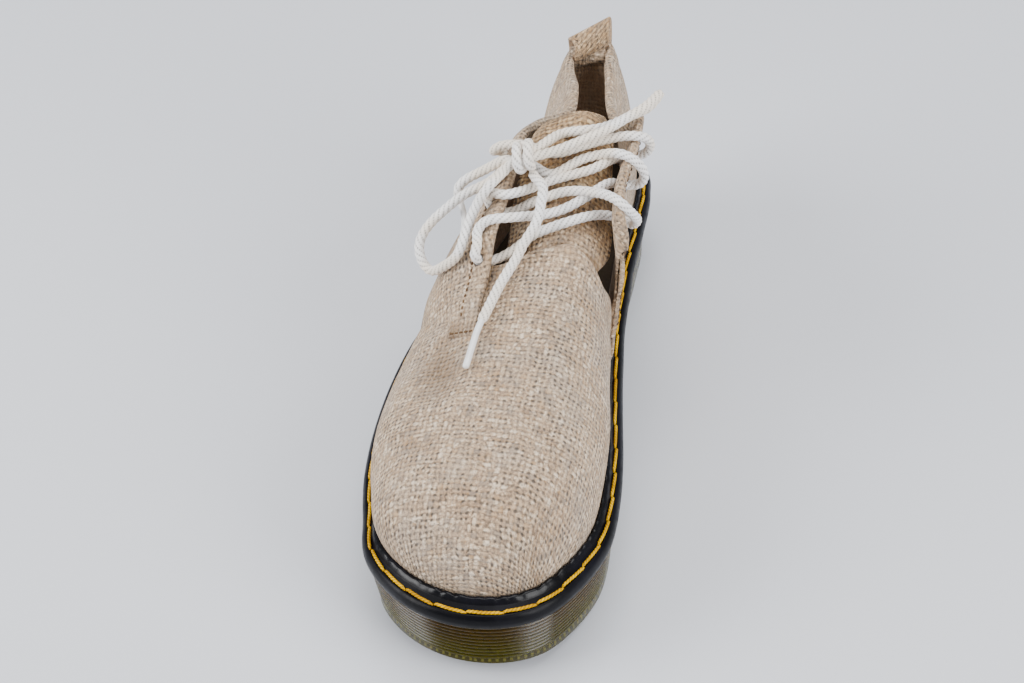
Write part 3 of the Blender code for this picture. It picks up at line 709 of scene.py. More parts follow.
# Upper: vamp and quarters of coarse plain-woven hemp.  The vamp is drawn over the last in one piece; the
# quarters lie over it, join at the heel, and end in free flaps with folded edges.
CLOTH = 2.0
RIDGE = Table(
    "foot top x height outer_fullness inner_fullness outer_swell inner_swell",
    (0, 40, 7.0, 75.0, 1.00, 1.00, 0.5, 0.5),
    (25, 50, 7.5, 78.0, 1.00, 1.00, 4.0, 1.0),
    (50, 66, 9.0, 80.5, 0.98, 0.98, 4.5, 1.5),
    (75, 86, 11.5, 83.5, 0.94, 0.98, 3.2, 3.0),
    (100, 108, 14.5, 87.5, 0.87, 0.98, 1.4, 4.0),
    (125, 130, 18.0, 92.5, 0.79, 1.00, 0.3, 4.0),
    (150, 150, 21.0, 98.0, 0.72, 1.00, 0.0, 3.2),
    (162, 162, 21.0, 101.0, 0.70, 1.00, 0.0, 2.5),
)
THROAT = Table(
    "rise outer inner",
    (0.0, 162, 160),
    (0.3, 160, 153),
    (0.5, 154, 146.5),
    (0.62, 149, 147.5),
    (0.75, 143, 148.6),
    (0.88, 147.5, 149.6),
    (1.0, 150, 150),
)
OUTER_QUARTER = Table(
    "foot top x height outer_fullness outer_swell outer_reach",
    (146, 109.3, -11.4, 85.3, 0.78, 1.5, 0.95),
    (147.5, 122, -10.8, 87.0, 0.76, 1.2, 0.80),
    (150, 135, -10.5, 89.8, 0.72, 1.0, 0.60),
    (157, 151, -10.0, 100.5, 0.58, 0.5, 0.30),
    (172, 170, -8.5, 107.0, 0.54, 0.0, 0.20),
    (190, 188, -8.0, 109.5, 0.54, 0.0, 0.20),
    (206, 205, -7.5, 109.5, 0.54, 0.0, 0.20),
    (222, 221, -3.6, 106.0, 0.56, 0.0, 0.20),
    (240, 240, 7.0, 100.5, 0.48, 0.0, 0.20),
    (262, 262, 5.2, 97.0, 0.42, 0.0, 0.20),
    (280, 281, 0.2, 94.3, 0.40, 0.5, 0.20),
    (292, 295.5, -2.0, 93.6, 0.46, 1.5, 0.20),
    (300, 296.5, 7.0, 96.3, 0.60, 2.0, 0.20),
)
INNER_QUARTER = Table(
    "foot top x height inner_fullness inner_swell inner_reach",
    (148, 151, 39.6, 60.0, 0.60, 2.0, 0.20),
    (151, 154, 43.0, 82.0, 0.60, 2.5, 0.20),
    (156, 153, 43.0, 100.0, 0.65, 3.5, 0.20),
    (164, 160, 40.5, 111.0, 0.60, 4.0, 0.20),
    (180, 181, 41.0, 114.0, 0.55, 4.0, 0.20),
    (200, 202, 42.0, 115.5, 0.50, 2.5, 0.20),
    (214, 217, 42.0, 116.0, 0.45, 1.0, 0.20),
    (222, 225, 35.0, 109.0, 0.45, 0.5, 0.20),
    (231, 233, 29.5, 103.0, 0.47, 0.0, 0.20),
    (246, 248, 25.0, 99.0, 0.50, 0.0, 0.20),
    (266, 267, 21.0, 96.8, 0.50, 0.0, 0.20),
    (282, 284, 18.0, 96.9, 0.52, 0.5, 0.20),
    (293, 295.5, 17.4, 98.6, 0.58, 1.5, 0.20),
    (300, 296.5, 7.0, 96.3, 0.60, 2.0, 0.20),
)
QUARTERS = {"outer": OUTER_QUARTER, "inner": INNER_QUARTER}
VAMP_ROWS = 71
VAMP_COLUMNS = 120
QUARTER_ROWS = 71
QUARTER_COLUMNS = 150
QUARTER_BUNCH = 1.6
QUARTER_STEP = 1.2
STEP_RISE = (0.0, 0.25)
STEP_HEEL = (285.0, 299.0)
VAMP_TUCK = 0.3
TUCK_AHEAD = (14.0, 3.0)
TUCK_RISE = (0.5, 0.8)
VAMP_WAVE = 0.35
VAMP_UPWARDS = 0.8
QUARTER_WAVE = 0.5
QUARTER_UPWARDS = 0.3
SKIRT_SEAT = 0.5
DRAPE_STEPS = 17
RIM_STEPS = 7
HEM_WIDTH = 6.0
HEM_LIFT = 0.6
COLLAR_HEM = 2.2
COLLAR_RUN = (8.0, 60.0)
HEEL_ROLL = 2.6
HEEL_ROLL_HALF = 13.0
HEEL_SEAM = (0.5, 1.2)
HEEL_FLAT = (293.0, 300.0)
LINING_TURN = 10.0
THROAT_HEM = 1.1
THROAT_FOLD = 0.5
SEWN_RISE = (0.74, 0.82)
SEWN_WIDTH = (6.0, 26.0)
FREE_WIDTH = (3.0, 16.0)
SEWN_LIFT = (-1.3, 0.3)
FREE_LIFT = (1.0, 2.2)
LIFT_RUN = 14.0
FLAP_CURL = 1.5
CURL_WIDTH = 11.0
CURL_HEIGHT = (66.0, 104.0)
CURL_FOOT = (164.0, 176.0)
DENT = ((-26, -36, 77), (-18, -78, 78))
VAMP_CREASES = (
    (-3.6, *DENT, 12.0),
    (1.4, (-6, -58, 83), (-13, -84, 79), 6.0),
    (-0.8, (-30, -58, 76), (4, -62, 86), 6.0),
    (-0.9, (36, -30, 76), (42, -70, 66), 8.0),
)
VAMP_STAINS = ((38, -12, 70, 16, 0.5), (24, -2, 96, 7, 0.25))
# Painted shade in the dent on the outer side of the vamp.
DENT_SHADE = (0.72, *DENT, 13.0)
QUARTER_CREASES = (
    (-1.6, (-44, 18, 72), (-24, 54, 92), 9.0),
    (-1.2, (-36, 60, 62), (-22, 96, 84), 8.0),
    (-1.0, (40, 40, 62), (34, 86, 84), 8.0),
)
QUARTER_STAINS = (
    (-23.6, -38.5, 80.5, 4.5, 1.6),
    (-15, -40, 84, 6, 0.5),
    (-13, -8, 95, 8, 0.4),
    (40, 4, 60, 14, 0.6),
    (7, 146, 93, 12, 0.3),
)


def ease(value, low, high):
    """0 below low, 1 above high, and three squares less two cubes of the share in between."""
    u = np.clip((value - low) / (high - low), 0.0, 1.0)
    return u * u * (3 - 2 * u)


def with_height(points, z):
    """Plan points with their heights."""
    return np.concatenate([points, z[..., None]], axis=-1)


def feather(side, foot):
    """Points where the upper's outside meets the welt, and the outward direction there."""
    return plan(side, turn_of(foot), CLOTH_INSET(side, foot))


def rib(side, foot, rise, table):
    """Points on ribs from the welt (rise 0) to the top (rise 1): a curve that leaves the welt upright.

    Its middle handle lies between the chord's middle and the corner above the welt, as fullness says.
    Reach says how far that handle lies along the shoe from foot to top, and swell pushes the lower part
    of the rib outwards, most at a third of the rise, where the cubic is 4/27.
    """
    base, outward = feather(side, foot)
    low = with_height(base, welt_top(base[..., 1]))
    top = np.stack([table("x", foot), table("top", foot) - LENGTH / 2, table("height", foot)], axis=-1)
    corner = with_height(base, top[..., 2])
    middle = (low + top) / 2
    handle = middle + (corner - middle) * table(side + "_fullness", foot)[..., None]
    if side + "_reach" in table.columns:
        handle[..., 1] = low[..., 1] + (top - low)[..., 1] * table(side + "_reach", foot)
    u = rise[..., None]
    points = (1 - u) ** 2 * low + 2 * u * (1 - u) * handle + u * u * top
    push = 27 / 4 * rise * (1 - rise) ** 2 * table(side + "_swell", foot)
    points[..., :2] += outward * push[..., None]
    return points


def draped(side, foot, rise, table):
    """Sideways and lengthwise cloth used from a rib's top down to a rise.

    Each step of the rib counts its own way across, with its drop shared out by the square of the rib's
    direction in plan, so that yarns run straight over the form and down its walls.
    """
    steps = np.linspace(0, 1, DRAPE_STEPS)[:, None, None]
    points = rib(side, np.broadcast_to(foot, (DRAPE_STEPS, *foot.shape)), 1 + (rise - 1) * steps, table)
    move = np.diff(points, axis=0)
    outward = feather(side, foot)[1]
    drop = np.abs(move[..., 2])
    across = np.hypot(move[..., 0], outward[..., 0] ** 2 * drop).sum(axis=0)
    ahead = np.sign(move[..., 1]) * np.hypot(move[..., 1], outward[..., 1] ** 2 * drop)
    return SIGN[side] * across, ahead.sum(axis=0)


def grid_normals(points, outward):
    """Unit normals of a grid of points, on the side where outward points."""
    normal = unit(np.cross(np.gradient(points, axis=0), np.gradient(points, axis=1)))
    return normal * np.sign(np.sum(normal * outward, axis=-1, keepdims=True))


def away_from_middle(away, edge, grid):
    """Directions along a grid's edge, turned round where on the whole they point to its middle."""
    middle = grid.reshape(-1, grid.shape[-1]).mean(axis=0)
    away = unit(away)
    return away * np.sign(np.sum(away * (edge - middle), axis=-1).mean())


def sheet(points, normals, thick, uv, marks, loop, lining=1.0):
    """Cloth of a given thickness below a grid of points, closed by a half-round edge along the loop.

    The back is marked as lining.  The loop lists the grid's edge points as row and column numbers, in
    order.  The edge bulges by half the thickness, away from the cloth: along the cross product of the
    loop's direction and the normal.
    """
    rows, columns = loop
    edge, normal, half = points[rows, columns], normals[rows, columns], thick[rows, columns, None] / 2
    run = np.roll(edge, -1, axis=0) - np.roll(edge, 1, axis=0)
    away = away_from_middle(np.cross(run, normal), edge, points)
    bend = np.linspace(0, math.pi, RIM_STEPS)[:, None, None]
    rim = edge - normal * half + half * (np.cos(bend) * normal + np.sin(bend) * away)
    edge_uv = uv[rows, columns]
    run_uv = np.roll(edge_uv, -1, axis=0) - np.roll(edge_uv, 1, axis=0)
    away_uv = away_from_middle(np.stack([run_uv[:, 1], -run_uv[:, 0]], axis=-1), edge_uv, uv)
    close = np.concatenate([np.arange(len(rows)), [0]])
    rim_uv = (edge_uv + away_uv * half * bend)[:, close]

    def around(values):
        """Values along the edge, with the first one again at the end."""
        return np.broadcast_to(values, points.shape[:2])[rows, columns][close]

    rim_marks = {mark: np.tile(around(values), (RIM_STEPS, 1)) for mark, values in marks.items()}
    turned = np.linspace(0, 1, RIM_STEPS)[:, None] ** 2 * around(lining)
    back = points - normals * thick[..., None]
    return [
        (points, uv, marks),
        (rim[:, close], rim_uv, {**rim_marks, "lining": turned}),
        (back, uv, {**marks, "lining": lining}),
    ]


def grid_loop(rows, columns):
    """Edge points of a grid, once around."""
    r, c = np.arange(rows), np.arange(columns)
    row = np.concatenate([np.zeros(columns - 1, int), r[:-1], np.full(columns - 1, rows - 1), r[:0:-1]])
    column = np.concatenate([c[:-1], np.full(rows - 1, columns - 1), c[:0:-1], np.zeros(rows - 1, int)])
    return row, column


def spots(points, places):
    """Soft spots: for each place (x, y, z, reach, strength), a bell of the distance over the reach."""
    total = np.zeros(points.shape[:-1])
    for x, y, z, reach, strength in places:
        far = np.linalg.norm(points - np.array([x, y, z]), axis=-1)
        total += strength * np.exp(-((far / reach) ** 2))
    return total


def creases(points, rows):
    """Folds added up, each with its height, its two ends and its width.

    A fold is a bell of the distance from the straight line between its ends, fading out towards them.
    """
    total = np.zeros(points.shape[:-1])
    for rise, start, end, width in rows:
        line = np.subtract(end, start, dtype=float)
        along = (points - start) @ line / (line @ line)
        far = np.linalg.norm(points - start - np.clip(along, 0, 1)[..., None] * line, axis=-1)
        fade = np.sin(math.pi * np.clip(along, 0.02, 0.98)) ** 0.5
        total += rise * np.exp(-((far / width) ** 2)) * fade
    return total


def vamp_half(side):
    """Points, feet, rises and flat cut of one half of the vamp, draped from the ridge."""
    rise, part = np.meshgrid(np.linspace(0, 1, VAMP_ROWS), np.linspace(0, 1, VAMP_COLUMNS), indexing="ij")
    foot = part * THROAT(side, rise)
    points = rib(side, foot, rise, RIDGE)
    start, end = (QUARTERS[side].key[0] - ahead for ahead in TUCK_AHEAD)
    tucked = VAMP_TUCK * ease(foot, start, end) * (1 - ease(rise, *TUCK_RISE))
    points[..., 0] -= SIGN[side] * tucked
    feet = np.linspace(0, RIDGE.key[-1], 200)
    ridge = np.stack([RIDGE("x", feet), RIDGE("top", feet), RIDGE("height", feet)], axis=-1)
    across, ahead = draped(side, foot, rise, RIDGE)
    ridge_ahead = np.interp(foot, feet, along_rows(ridge[None])[0])
    cut = np.stack([RIDGE("x", foot) + across, ridge_ahead + ahead], axis=-1)
    return points, foot, rise, cut


def vamp_surface():
    """Both halves of the vamp side by side in one grid, from the outer welt over to the inner welt.

    Creases and a low wave are added along the normals.  Gives the points, normals, flat cut and the hem,
    which is 1 at the throat's edge.
    """
    halves = [vamp_half(side) for side in ("outer", "inner")]
    points, foot, rise, cut = (np.concatenate([a, b[-2::-1]]) for a, b in zip(*halves))
    outward, throat = [], []
    for side, half in zip(("outer", "inner"), halves):
        outward.append(with_height(feather(side, half[1])[1], np.full(half[1].shape, VAMP_UPWARDS)))
        throat.append(THROAT(side, half[2]))
    outward = np.concatenate([outward[0], outward[1][-2::-1]])
    throat = np.concatenate([throat[0], throat[1][-2::-1]])
    normals = grid_normals(points, outward)
    normals[:, 0] += normals[::-1, 0].copy()
    normals = unit(normals)
    hem = np.exp(-(((throat - foot) / HEM_WIDTH) ** 4))
    shape = creases(points, VAMP_CREASES)
    across, ahead = cut[..., 0], cut[..., 1]
    shape += VAMP_WAVE * np.sin(ahead / 9.0 + np.sin(across / 14.0)) * np.sin(across / 17.0)
    shape *= ease(rise, 0.04, 0.2)
    points = points + normals * (shape + THROAT_HEM * hem)[..., None]
    return points, normals, cut, hem


def vamp_patches(points, normals, cut, hem):
    """The vamp as a sheet, with a skirt down inside the welt on both sides."""
    low = points[[0, -1]].copy()
    low[..., 2] = sole_top(low[..., 1]) + SKIRT_SEAT
    points = np.concatenate([low[:1], points, low[1:]])
    cut, normals, hem = (np.concatenate([grid[:1], grid, grid[-1:]]) for grid in (cut, normals, hem))
    rows, columns = points.shape[:2]
    row = np.concatenate([np.zeros(columns - 1, int), np.arange(rows), np.full(columns - 2, rows - 1)])
    back = np.arange(columns - 2, 0, -1)
    column = np.concatenate([np.arange(columns - 1), np.full(rows, columns - 1), back])
    # The vamp's stains, and painted shade in its dent.
    stain = spots(points, VAMP_STAINS) + creases(points, [DENT_SHADE])
    marks = {"stain": stain, "seam": hem * 0.6, "lining": 0.0}
    return sheet(points, normals, CLOTH + THROAT_FOLD * hem, cut, marks, (row, column))


def far_from(points, line):
    """Distance of every point from the nearest point of a line."""
    return np.min([np.linalg.norm(points - at, axis=-1) for at in line], axis=0)


def quarter_half(side):
    """Points, feet, rises, flat cut and normals of one quarter, raised off the ribs by its step.

    The cut counts lengthwise from the back seam, around the welt's edge, and upwards along the ribs.
    """
    table = QUARTERS[side]
    first = turn_of(table.key[0])
    spread = np.linspace(0, 1, QUARTER_COLUMNS) ** QUARTER_BUNCH
    foot_line = from_toe_of(first + (math.pi - first) * spread)
    rise, foot = np.meshgrid(np.linspace(0, 1, QUARTER_ROWS), foot_line, indexing="ij")
    points = rib(side, foot, rise, table)
    outward = with_height(feather(side, foot)[1], np.full(foot.shape, QUARTER_UPWARDS))
    normals = grid_normals(points, outward)
    step = QUARTER_STEP * ease(rise, *STEP_RISE) * (1 - ease(foot, *STEP_HEEL))
    points = points + normals * step[..., None]
    around = along_rows(points[:1]) - along_rows(points[:1])[:, -1:]
    lengthwise = around + points[..., 1] - points[:1, :, 1]
    upwards = along_columns(points[..., [0, 2]])
    cut = np.stack([-SIGN[side] * lengthwise, upwards], axis=-1)
    return points, foot, rise, cut, normals


def sewn_down(points, weight, lift, ground, ground_normals):
    """Points moved onto a surface where they are sewn to it.

    A point goes along the normal of the nearest surface point, by its weight, until it is lift above
    the plane that touches the surface there.
    """
    moved = points.copy()
    for column in np.flatnonzero(weight.max(axis=0) > 0.001):
        nearest = np.linalg.norm(points[:, column, None] - ground, axis=-1).argmin(axis=1)
        normal = ground_normals[nearest]
        above = np.sum((points[:, column] - ground[nearest]) * normal, axis=-1)
        moved[:, column] += normal * ((lift[:, column] - above) * weight[:, column])[:, None]
    return moved


def quarter_surface(vamp_points, vamp_normals):
    """Both quarters in one grid, from the outer flap round the heel to the inner flap.

    Creases, a low wave, the hem and the back seam's groove are added along the normals.  The outer
    quarter's front edge is sewn down flat on the vamp up to the bar tack, and lies close on it above; the
    inner flap's front edge curls out.  Gives the points, normals, flat cut and the distance from the top
    edge.
    """
    halves = [quarter_half(side) for side in ("outer", "inner")]
    points, foot, rise, cut, normals = (np.concatenate([a, b[:, -2::-1]], axis=1) for a, b in zip(*halves))
    middle = QUARTER_COLUMNS - 1
    normals[:, middle] = normals[:, middle - 1] + normals[:, middle + 1]
    normals = unit(normals)
    far = far_from(points, points[-1])
    curl = FLAP_CURL * (1 - np.clip(far / CURL_WIDTH, 0, 1)) ** 2 * ease(points[..., 2], *CURL_HEIGHT)
    curl *= (np.arange(points.shape[1]) > middle) * (1 - ease(foot, *CURL_FOOT))
    points[..., 0] += curl
    hem = np.exp(-((far / HEM_WIDTH) ** 6))
    seam_depth, seam_width = HEEL_SEAM
    shape = HEM_LIFT * hem - seam_depth * np.exp(-((cut[..., 0] / seam_width) ** 2))
    shape += QUARTER_WAVE * np.sin(points[..., 1] / 10.0 + points[..., 2] / 13.0) * ease(rise, 0.1, 0.4)
    shape += creases(points, QUARTER_CREASES)
    shape *= 1 - ease(foot, *HEEL_FLAT)
    points = points + normals * shape[..., None]
    front = along_rows(points)
    free = ease(rise, *SEWN_RISE)
    held, loose = (sewn * (1 - free) + apart * free for sewn, apart in zip(SEWN_WIDTH, FREE_WIDTH))
    weight = 1 - ease(front, held, loose)
    edge, inside = (sewn * (1 - free) + apart * free for sewn, apart in zip(SEWN_LIFT, FREE_LIFT))
    lift = edge + (inside - edge) * ease(front, 0, LIFT_RUN)
    ground, ground_normals = (grid[:VAMP_ROWS].reshape(-1, 3) for grid in (vamp_points, vamp_normals))
    return sewn_down(points, weight, lift, ground, ground_normals), normals, cut, far


def quarter_patches(points, normals, cut, far):
    """The quarters as a sheet with a skirt down inside the welt.

    The folded edge thickens away from the flaps, and once more as a roll at the back of the collar.
    """
    low = points[:1].copy()
    low[..., 2] = sole_top(low[..., 1]) + SKIRT_SEAT
    points = np.concatenate([low, points])
    cut, normals, far = (np.concatenate([grid[:1], grid]) for grid in (cut, normals, far))
    hem = np.exp(-((far / HEM_WIDTH) ** 6))
    marks = {"stain": spots(points, QUARTER_STAINS), "seam": 0.7 * hem, "lining": 0.0}
    along = along_rows(points)
    from_flap = np.minimum(along, along[:, -1:] - along)
    thick = CLOTH + COLLAR_HEM * hem * (0.2 + 0.8 * ease(from_flap, *COLLAR_RUN))
    thick += HEEL_ROLL * hem * np.exp(-((cut[..., 0] / HEEL_ROLL_HALF) ** 4))
    lining = 1 - 0.9 * np.exp(-((far / LINING_TURN) ** 4))
    return sheet(points, normals, thick, cut, marks, grid_loop(*points.shape[:2]), lining)


YARN = 2.25


def cloth_finish():
    """Plain weave of slubby yarns on the flat cut.

    A yarn's height is a half sine across it, raised where it passes over: warp and weft trade places by
    the product of both sines.  Yarns and their floats have their own tones, with painted light and shade
    from the weave's relief, and some of the crossings leave a pinhole painted dark as shade.
    """
    cloth = Finish("hemp_cloth", {"Roughness": 0.9, "Sheen Weight": 0.15, "Sheen Roughness": 0.6})
    cut = cloth.cut()
    wander = cloth.noise(cut, 0.07, 3.0, 0.6, "Color")
    wander = cloth.node("VectorMath", {"operation": "SUBTRACT"}, {0: wander, 1: (0.5, 0.5, 0.5)})
    wander = cloth.node("VectorMath", {"operation": "SCALE"}, {0: wander, "Scale": 5.0})
    along, across, _ = cloth.split(cloth.node("VectorMath", {"operation": "ADD"}, {0: cut, 1: wander}))
    u, v = along / YARN, across / YARN
    slub_u = cloth.noise(cloth.vector(u.math("FLOOR") * 3.7, v * 0.3), 1.0, 3.0)
    slub_v = cloth.noise(cloth.vector(u * 0.3, v.math("FLOOR") * 3.7, 9.0), 1.0, 3.0)
    wave_u, wave_v = (u * math.pi).math("SINE"), (v * math.pi).math("SINE")
    over = wave_u * wave_v * 0.5
    warp = wave_u.math("ABSOLUTE") * (over + 0.5) * (slub_u + 0.55)
    weft = wave_v.math("ABSOLUTE") * (0.5 - over) * (slub_v + 0.55)
    relief = warp.math("MAXIMUM", weft)
    tone = slub_u + (slub_v - slub_u) * (weft - warp).between(-0.15, 0.15)
    tone = 0.5 + (tone - 0.5) * 0.7
    cell = cloth.vector(u.math("FLOOR"), v.math("FLOOR"))
    float_tone = cloth.chance(cell)
    speck = cloth.noise(cut, 0.9, 3.0, 0.7)
    # The weave's relief in the tone is painted light on the raised yarns and painted shade in the low parts.
    tone = tone + (speck - 0.5) * 0.72 + (float_tone - 0.5) * 0.12 + (relief - 0.55) * 0.08
    stops = [
        (0.27, (0.173, 0.111, 0.066)),
        (0.39, (0.347, 0.237, 0.147)),
        (0.48, (0.491, 0.335, 0.204)),
        (0.56, (0.588, 0.424, 0.273)),
        (0.66, (0.835, 0.678, 0.507)),
    ]
    colour = cloth.node("ValToRGB", {"stops": stops}, {"Fac": tone})
    cloud = cloth.noise(cut, 0.035, 3.0, 0.55)
    colour = cloth.mix(cloud.between(0.48, 0.68) * 0.45, colour, (0.68, 0.58, 0.46), "MULTIPLY")
    cool = cloth.split(cloth.noise(cut, 0.05, 3.0, 0.55, "Color"))[1].between(0.5, 0.66)
    colour = cloth.mix(cool * 0.3, colour, (0.435, 0.374, 0.313))
    fleck = cloth.noise(cut, 0.33, 2.0, 0.4).between(0.64, 0.71)
    colour = cloth.mix(fleck * 0.75, colour, (0.383, 0.226, 0.096))
    grey = (1 - float_tone.between(0.07, 0.09)) * speck.between(0.3, 0.5)
    colour = cloth.mix(grey * 0.5, colour, (0.32, 0.26, 0.205))
    tan = float_tone.between(0.945, 0.955) * speck.between(0.35, 0.55)
    colour = cloth.mix(tan * 0.6, colour, (0.392, 0.217, 0.078))
    # Painted shade: fine dark grains between the strands of the yarns.
    strand_shade = cloth.noise(cut, 0.95, 2.0, 0.6)
    colour = cloth.mix(strand_shade.between(0.52, 0.64) * 0.68, colour, (0.174, 0.122, 0.083))
    column, row = (u + 0.5).math("FLOOR"), (v + 0.5).math("FLOOR")
    crossing = cloth.vector(column, row, 5.0)
    region = cloth.noise(cut, 0.06, 2.0).between(0.35, 0.65)
    opened = (cloth.chance(crossing) * 0.8 + region * 0.45).between(0.45, 1.0)
    from_hole = (u - column) ** 2.0 + (v - row) ** 2.0
    pinhole = (1 - from_hole.between(0.01, 0.14)) * (0.42 + opened * 0.58)
    # Painted shade: the pinholes are mixed dark for the shade seen in gaps of the weave.
    colour = cloth.mix(pinhole * 0.9, colour, (0.061, 0.044, 0.031))
    # Warmer tint on the tongue and heel loop; along the tongue's inner edge it is painted warm shade.
    colour = cloth.mix(cloth.mark("warm"), colour, (0.85, 0.75, 0.57), "MULTIPLY")
    # Darker along hems and edges: partly wear, partly painted shade along the folded edges.
    worn_and_shaded_edges = cloth.mark("seam") * cloth.noise(cut, 0.5, 3.0, 0.6).between(0.35, 0.65)
    colour = cloth.mix(worn_and_shaded_edges * 0.3, colour, (0.365, 0.252, 0.148))
    # Brown stains, together with painted shade in the vamp's dent, on the tongue behind the vamp's edge and
    # in the heel loop's fold.
    stain = (cloth.mark("stain") * (0.55 + speck)).between(0.15, 0.95)
    colour = cloth.mix(stain * 0.75, colour, (0.174, 0.1, 0.044))
    lining = cloth.mark("lining")
    colour = cloth.mix(lining * 0.75, colour, (0.539, 0.374, 0.244))
    cloth.set("Base Color", colour)
    fibre = cloth.noise(cut, 3.2, 3.0, 0.7)
    cloth.bump((relief - pinhole * 0.5) * (1 - lining * 0.6) + fibre * 0.3 + speck * 0.2, 0.8, 0.9)
    return cloth


hemp = cloth_finish()
VAMP = vamp_surface()
QUARTER = quarter_surface(*VAMP[:2])
piece("vamp", vamp_patches(*VAMP), hemp, "cloth", "upper")
quarters = piece("quarters", quarter_patches(*QUARTER), hemp, "cloth", "upper")

# Flap stitches: dark linen thread in short stitches, a row along each flap's edge and a bar tack at the
# end of the outer flap's free edge.
FLAP_THREAD = 0.9
FLAP_THREAD_LAY = 2.0
STITCH_PROUD = 0.2
STITCH_SINK = 0.9
OUTER_ROW = (slice(4, 62), 6.8, 3.1, 1.9)
INNER_ROW = (slice(-62, -1), 2.4, 3.4, 2.4)
BAR_TACK = (2.4, 2.1)


def inland(grid, far, distance):
    """Line on a grid at a distance from its top edge, between the two rows next to that distance."""
    column = np.flatnonzero(far.max(axis=0) > distance + 1)
    row = np.clip((far[:, column] > distance).sum(axis=0), 1, len(far) - 1)
    low, high = far[row - 1, column], far[row, column]
    share = np.clip((low - distance) / np.maximum(low - high, 1e-6), 0, 1)[:, None]
    return grid[row - 1, column] * (1 - share) + grid[row, column] * share


def stitch_row(line, normals, pitch, length):
    """Short stitches along a line, each with its ends sunk into the cloth by a fourth power."""
    far = along_rows(line[None])[0]
    middle = np.arange(pitch / 2, far[-1], pitch)[:, None]
    part = np.linspace(-0.5, 0.5, 9)
    at = np.clip(middle + part * length, 0, far[-1])
    up = unit(line_points(normals, far, at))
    lift = STITCH_PROUD - STITCH_SINK * np.abs(2 * part) ** 4
    path = line_points(line, far, at) + up * lift[:, None]
    side = unit(np.cross(np.gradient(path, axis=1), up))
    return threads(path, up, side, FLAP_THREAD, FLAP_THREAD_LAY, steps=8)


def flap_stitches():
    """A row along each flap's edge, and the bar tack where the outer flap comes free.

    A row has its columns of the quarters' grid, its distance from the edge, and its stitches' pitch and
    length.
    """
    points, normals, _, far = QUARTER
    patches = []
    for part, distance, pitch, length in (OUTER_ROW, INNER_ROW):
        line, up = (inland(grid[:, part], far[:, part], distance) for grid in (points, normals))
        patches += stitch_row(line, up, pitch, length)
    first = round(SEWN_RISE[1] * (QUARTER_ROWS - 1))
    edge = 0.7 * points[first:, 0] + 0.3 * points[first:, 1]
    patches += stitch_row(edge, normals[first:, 1], *BAR_TACK)
    return patches


linen = thread_finish("linen_thread", (0.10, 0.055, 0.03), (0.20, 0.125, 0.07), 0.7)
piece("flap_stitches", flap_stitches(), linen, "cloth")

# Lace holes: six round holes punched through the cloth of the flaps, three on each side, numbered down
# from the collar.  Each place is given by its rib's foot and its rise on it.
EYELET_HOLE = 5.2
EYELETS = {
    "outer": ((199.0, 0.87), (169.0, 0.90), (152.6, 0.94)),
    "inner": ((205.0, 0.76), (187.0, 0.75), (171.5, 0.70)),
}


def flap_frame(side, foot, rise):
    """Point on the outside of a flap, and the outward direction there, across two short steps on it."""
    step = np.array([0.0, 0.5, 0.0])
    lift = np.array([0.0, 0.0, 0.01])
    points = rib(side, foot + step, np.clip(rise - lift, 0, 1), QUARTERS[side])
    normal = np.cross(points[1] - points[0], points[2] - points[0])
    normal *= np.sign(normal[0]) * SIGN[side] / np.linalg.norm(normal)
    return points[0] + normal * QUARTER_STEP, normal


EYELET_FRAMES = {
    (side, number): flap_frame(side, foot, rise)
    for side, places in EYELETS.items()
    for number, (foot, rise) in enumerate(places, 1)
}


def punch(target, frames):
    """Cut a round hole through a piece at each frame, and keep the result as its mesh."""
    tools = []
    for centre, normal in frames:
        bpy.ops.mesh.primitive_cylinder_add(
            vertices=28,
            radius=EYELET_HOLE / 2 * MM,
            depth=10 * CLOTH * MM,
            location=Vector(centre) * MM,
            rotation=Vector(normal).to_track_quat("Z", "Y").to_euler(),
        )
        tools.append(bpy.context.object)
        cut = target.modifiers.new("hole", "BOOLEAN")
        cut.operation = "DIFFERENCE"
        cut.solver = "EXACT"
        cut.object = tools[-1]
    shown = target.evaluated_get(bpy.context.evaluated_depsgraph_get())
    mesh = bpy.data.meshes.new_from_object(shown)
    target.modifiers.clear()
    target.data = mesh
    mesh.name = target.name
    for tool in tools:
        bpy.data.objects.remove(tool, do_unlink=True)


punch(quarters, EYELET_FRAMES.values())

# Tongue: one layer of the same cloth with a narrow hem, sewn in under the vamp.  It lies loose up to its
# rounded top and droops on both sides.
TONGUE = Table(
    "from_toe x height outer_half inner_half outer_drop inner_drop",
    (126, 18.0, 87.4, 24, 9, 10, 9),
    (140, 19.5, 90.4, 25, 9.5, 11, 9),
    (150, 20.5, 93.8, 26, 12, 11, 9),
    (160, 20.5, 98.2, 26, 16.5, 10, 10.5),
    (175, 20.5, 105.5, 26, 15, 9, 10),
    (190, 20.0, 113.2, 24, 13, 8, 7),
    (201, 19.5, 119.5, 21, 12.5, 6, 5),
    (206, 19.3, 122.2, 16, 11, 4, 4),
    (208, 19.3, 123.3, 9, 8, 2, 2),
)
TONGUE_CURL = 1.8
TONGUE_HEM = 4.0
TONGUE_FOLD = 0.4
TONGUE_WAVE = 0.4
TONGUE_CREASE = (-0.5, (8, 10, 97), (28, 16, 99), 4.0)
TONGUE_WARM = (152.0, 186.0)
THROAT_SHADE = ((0.75, 7.6, 4), (1.0, 5.8, 10))


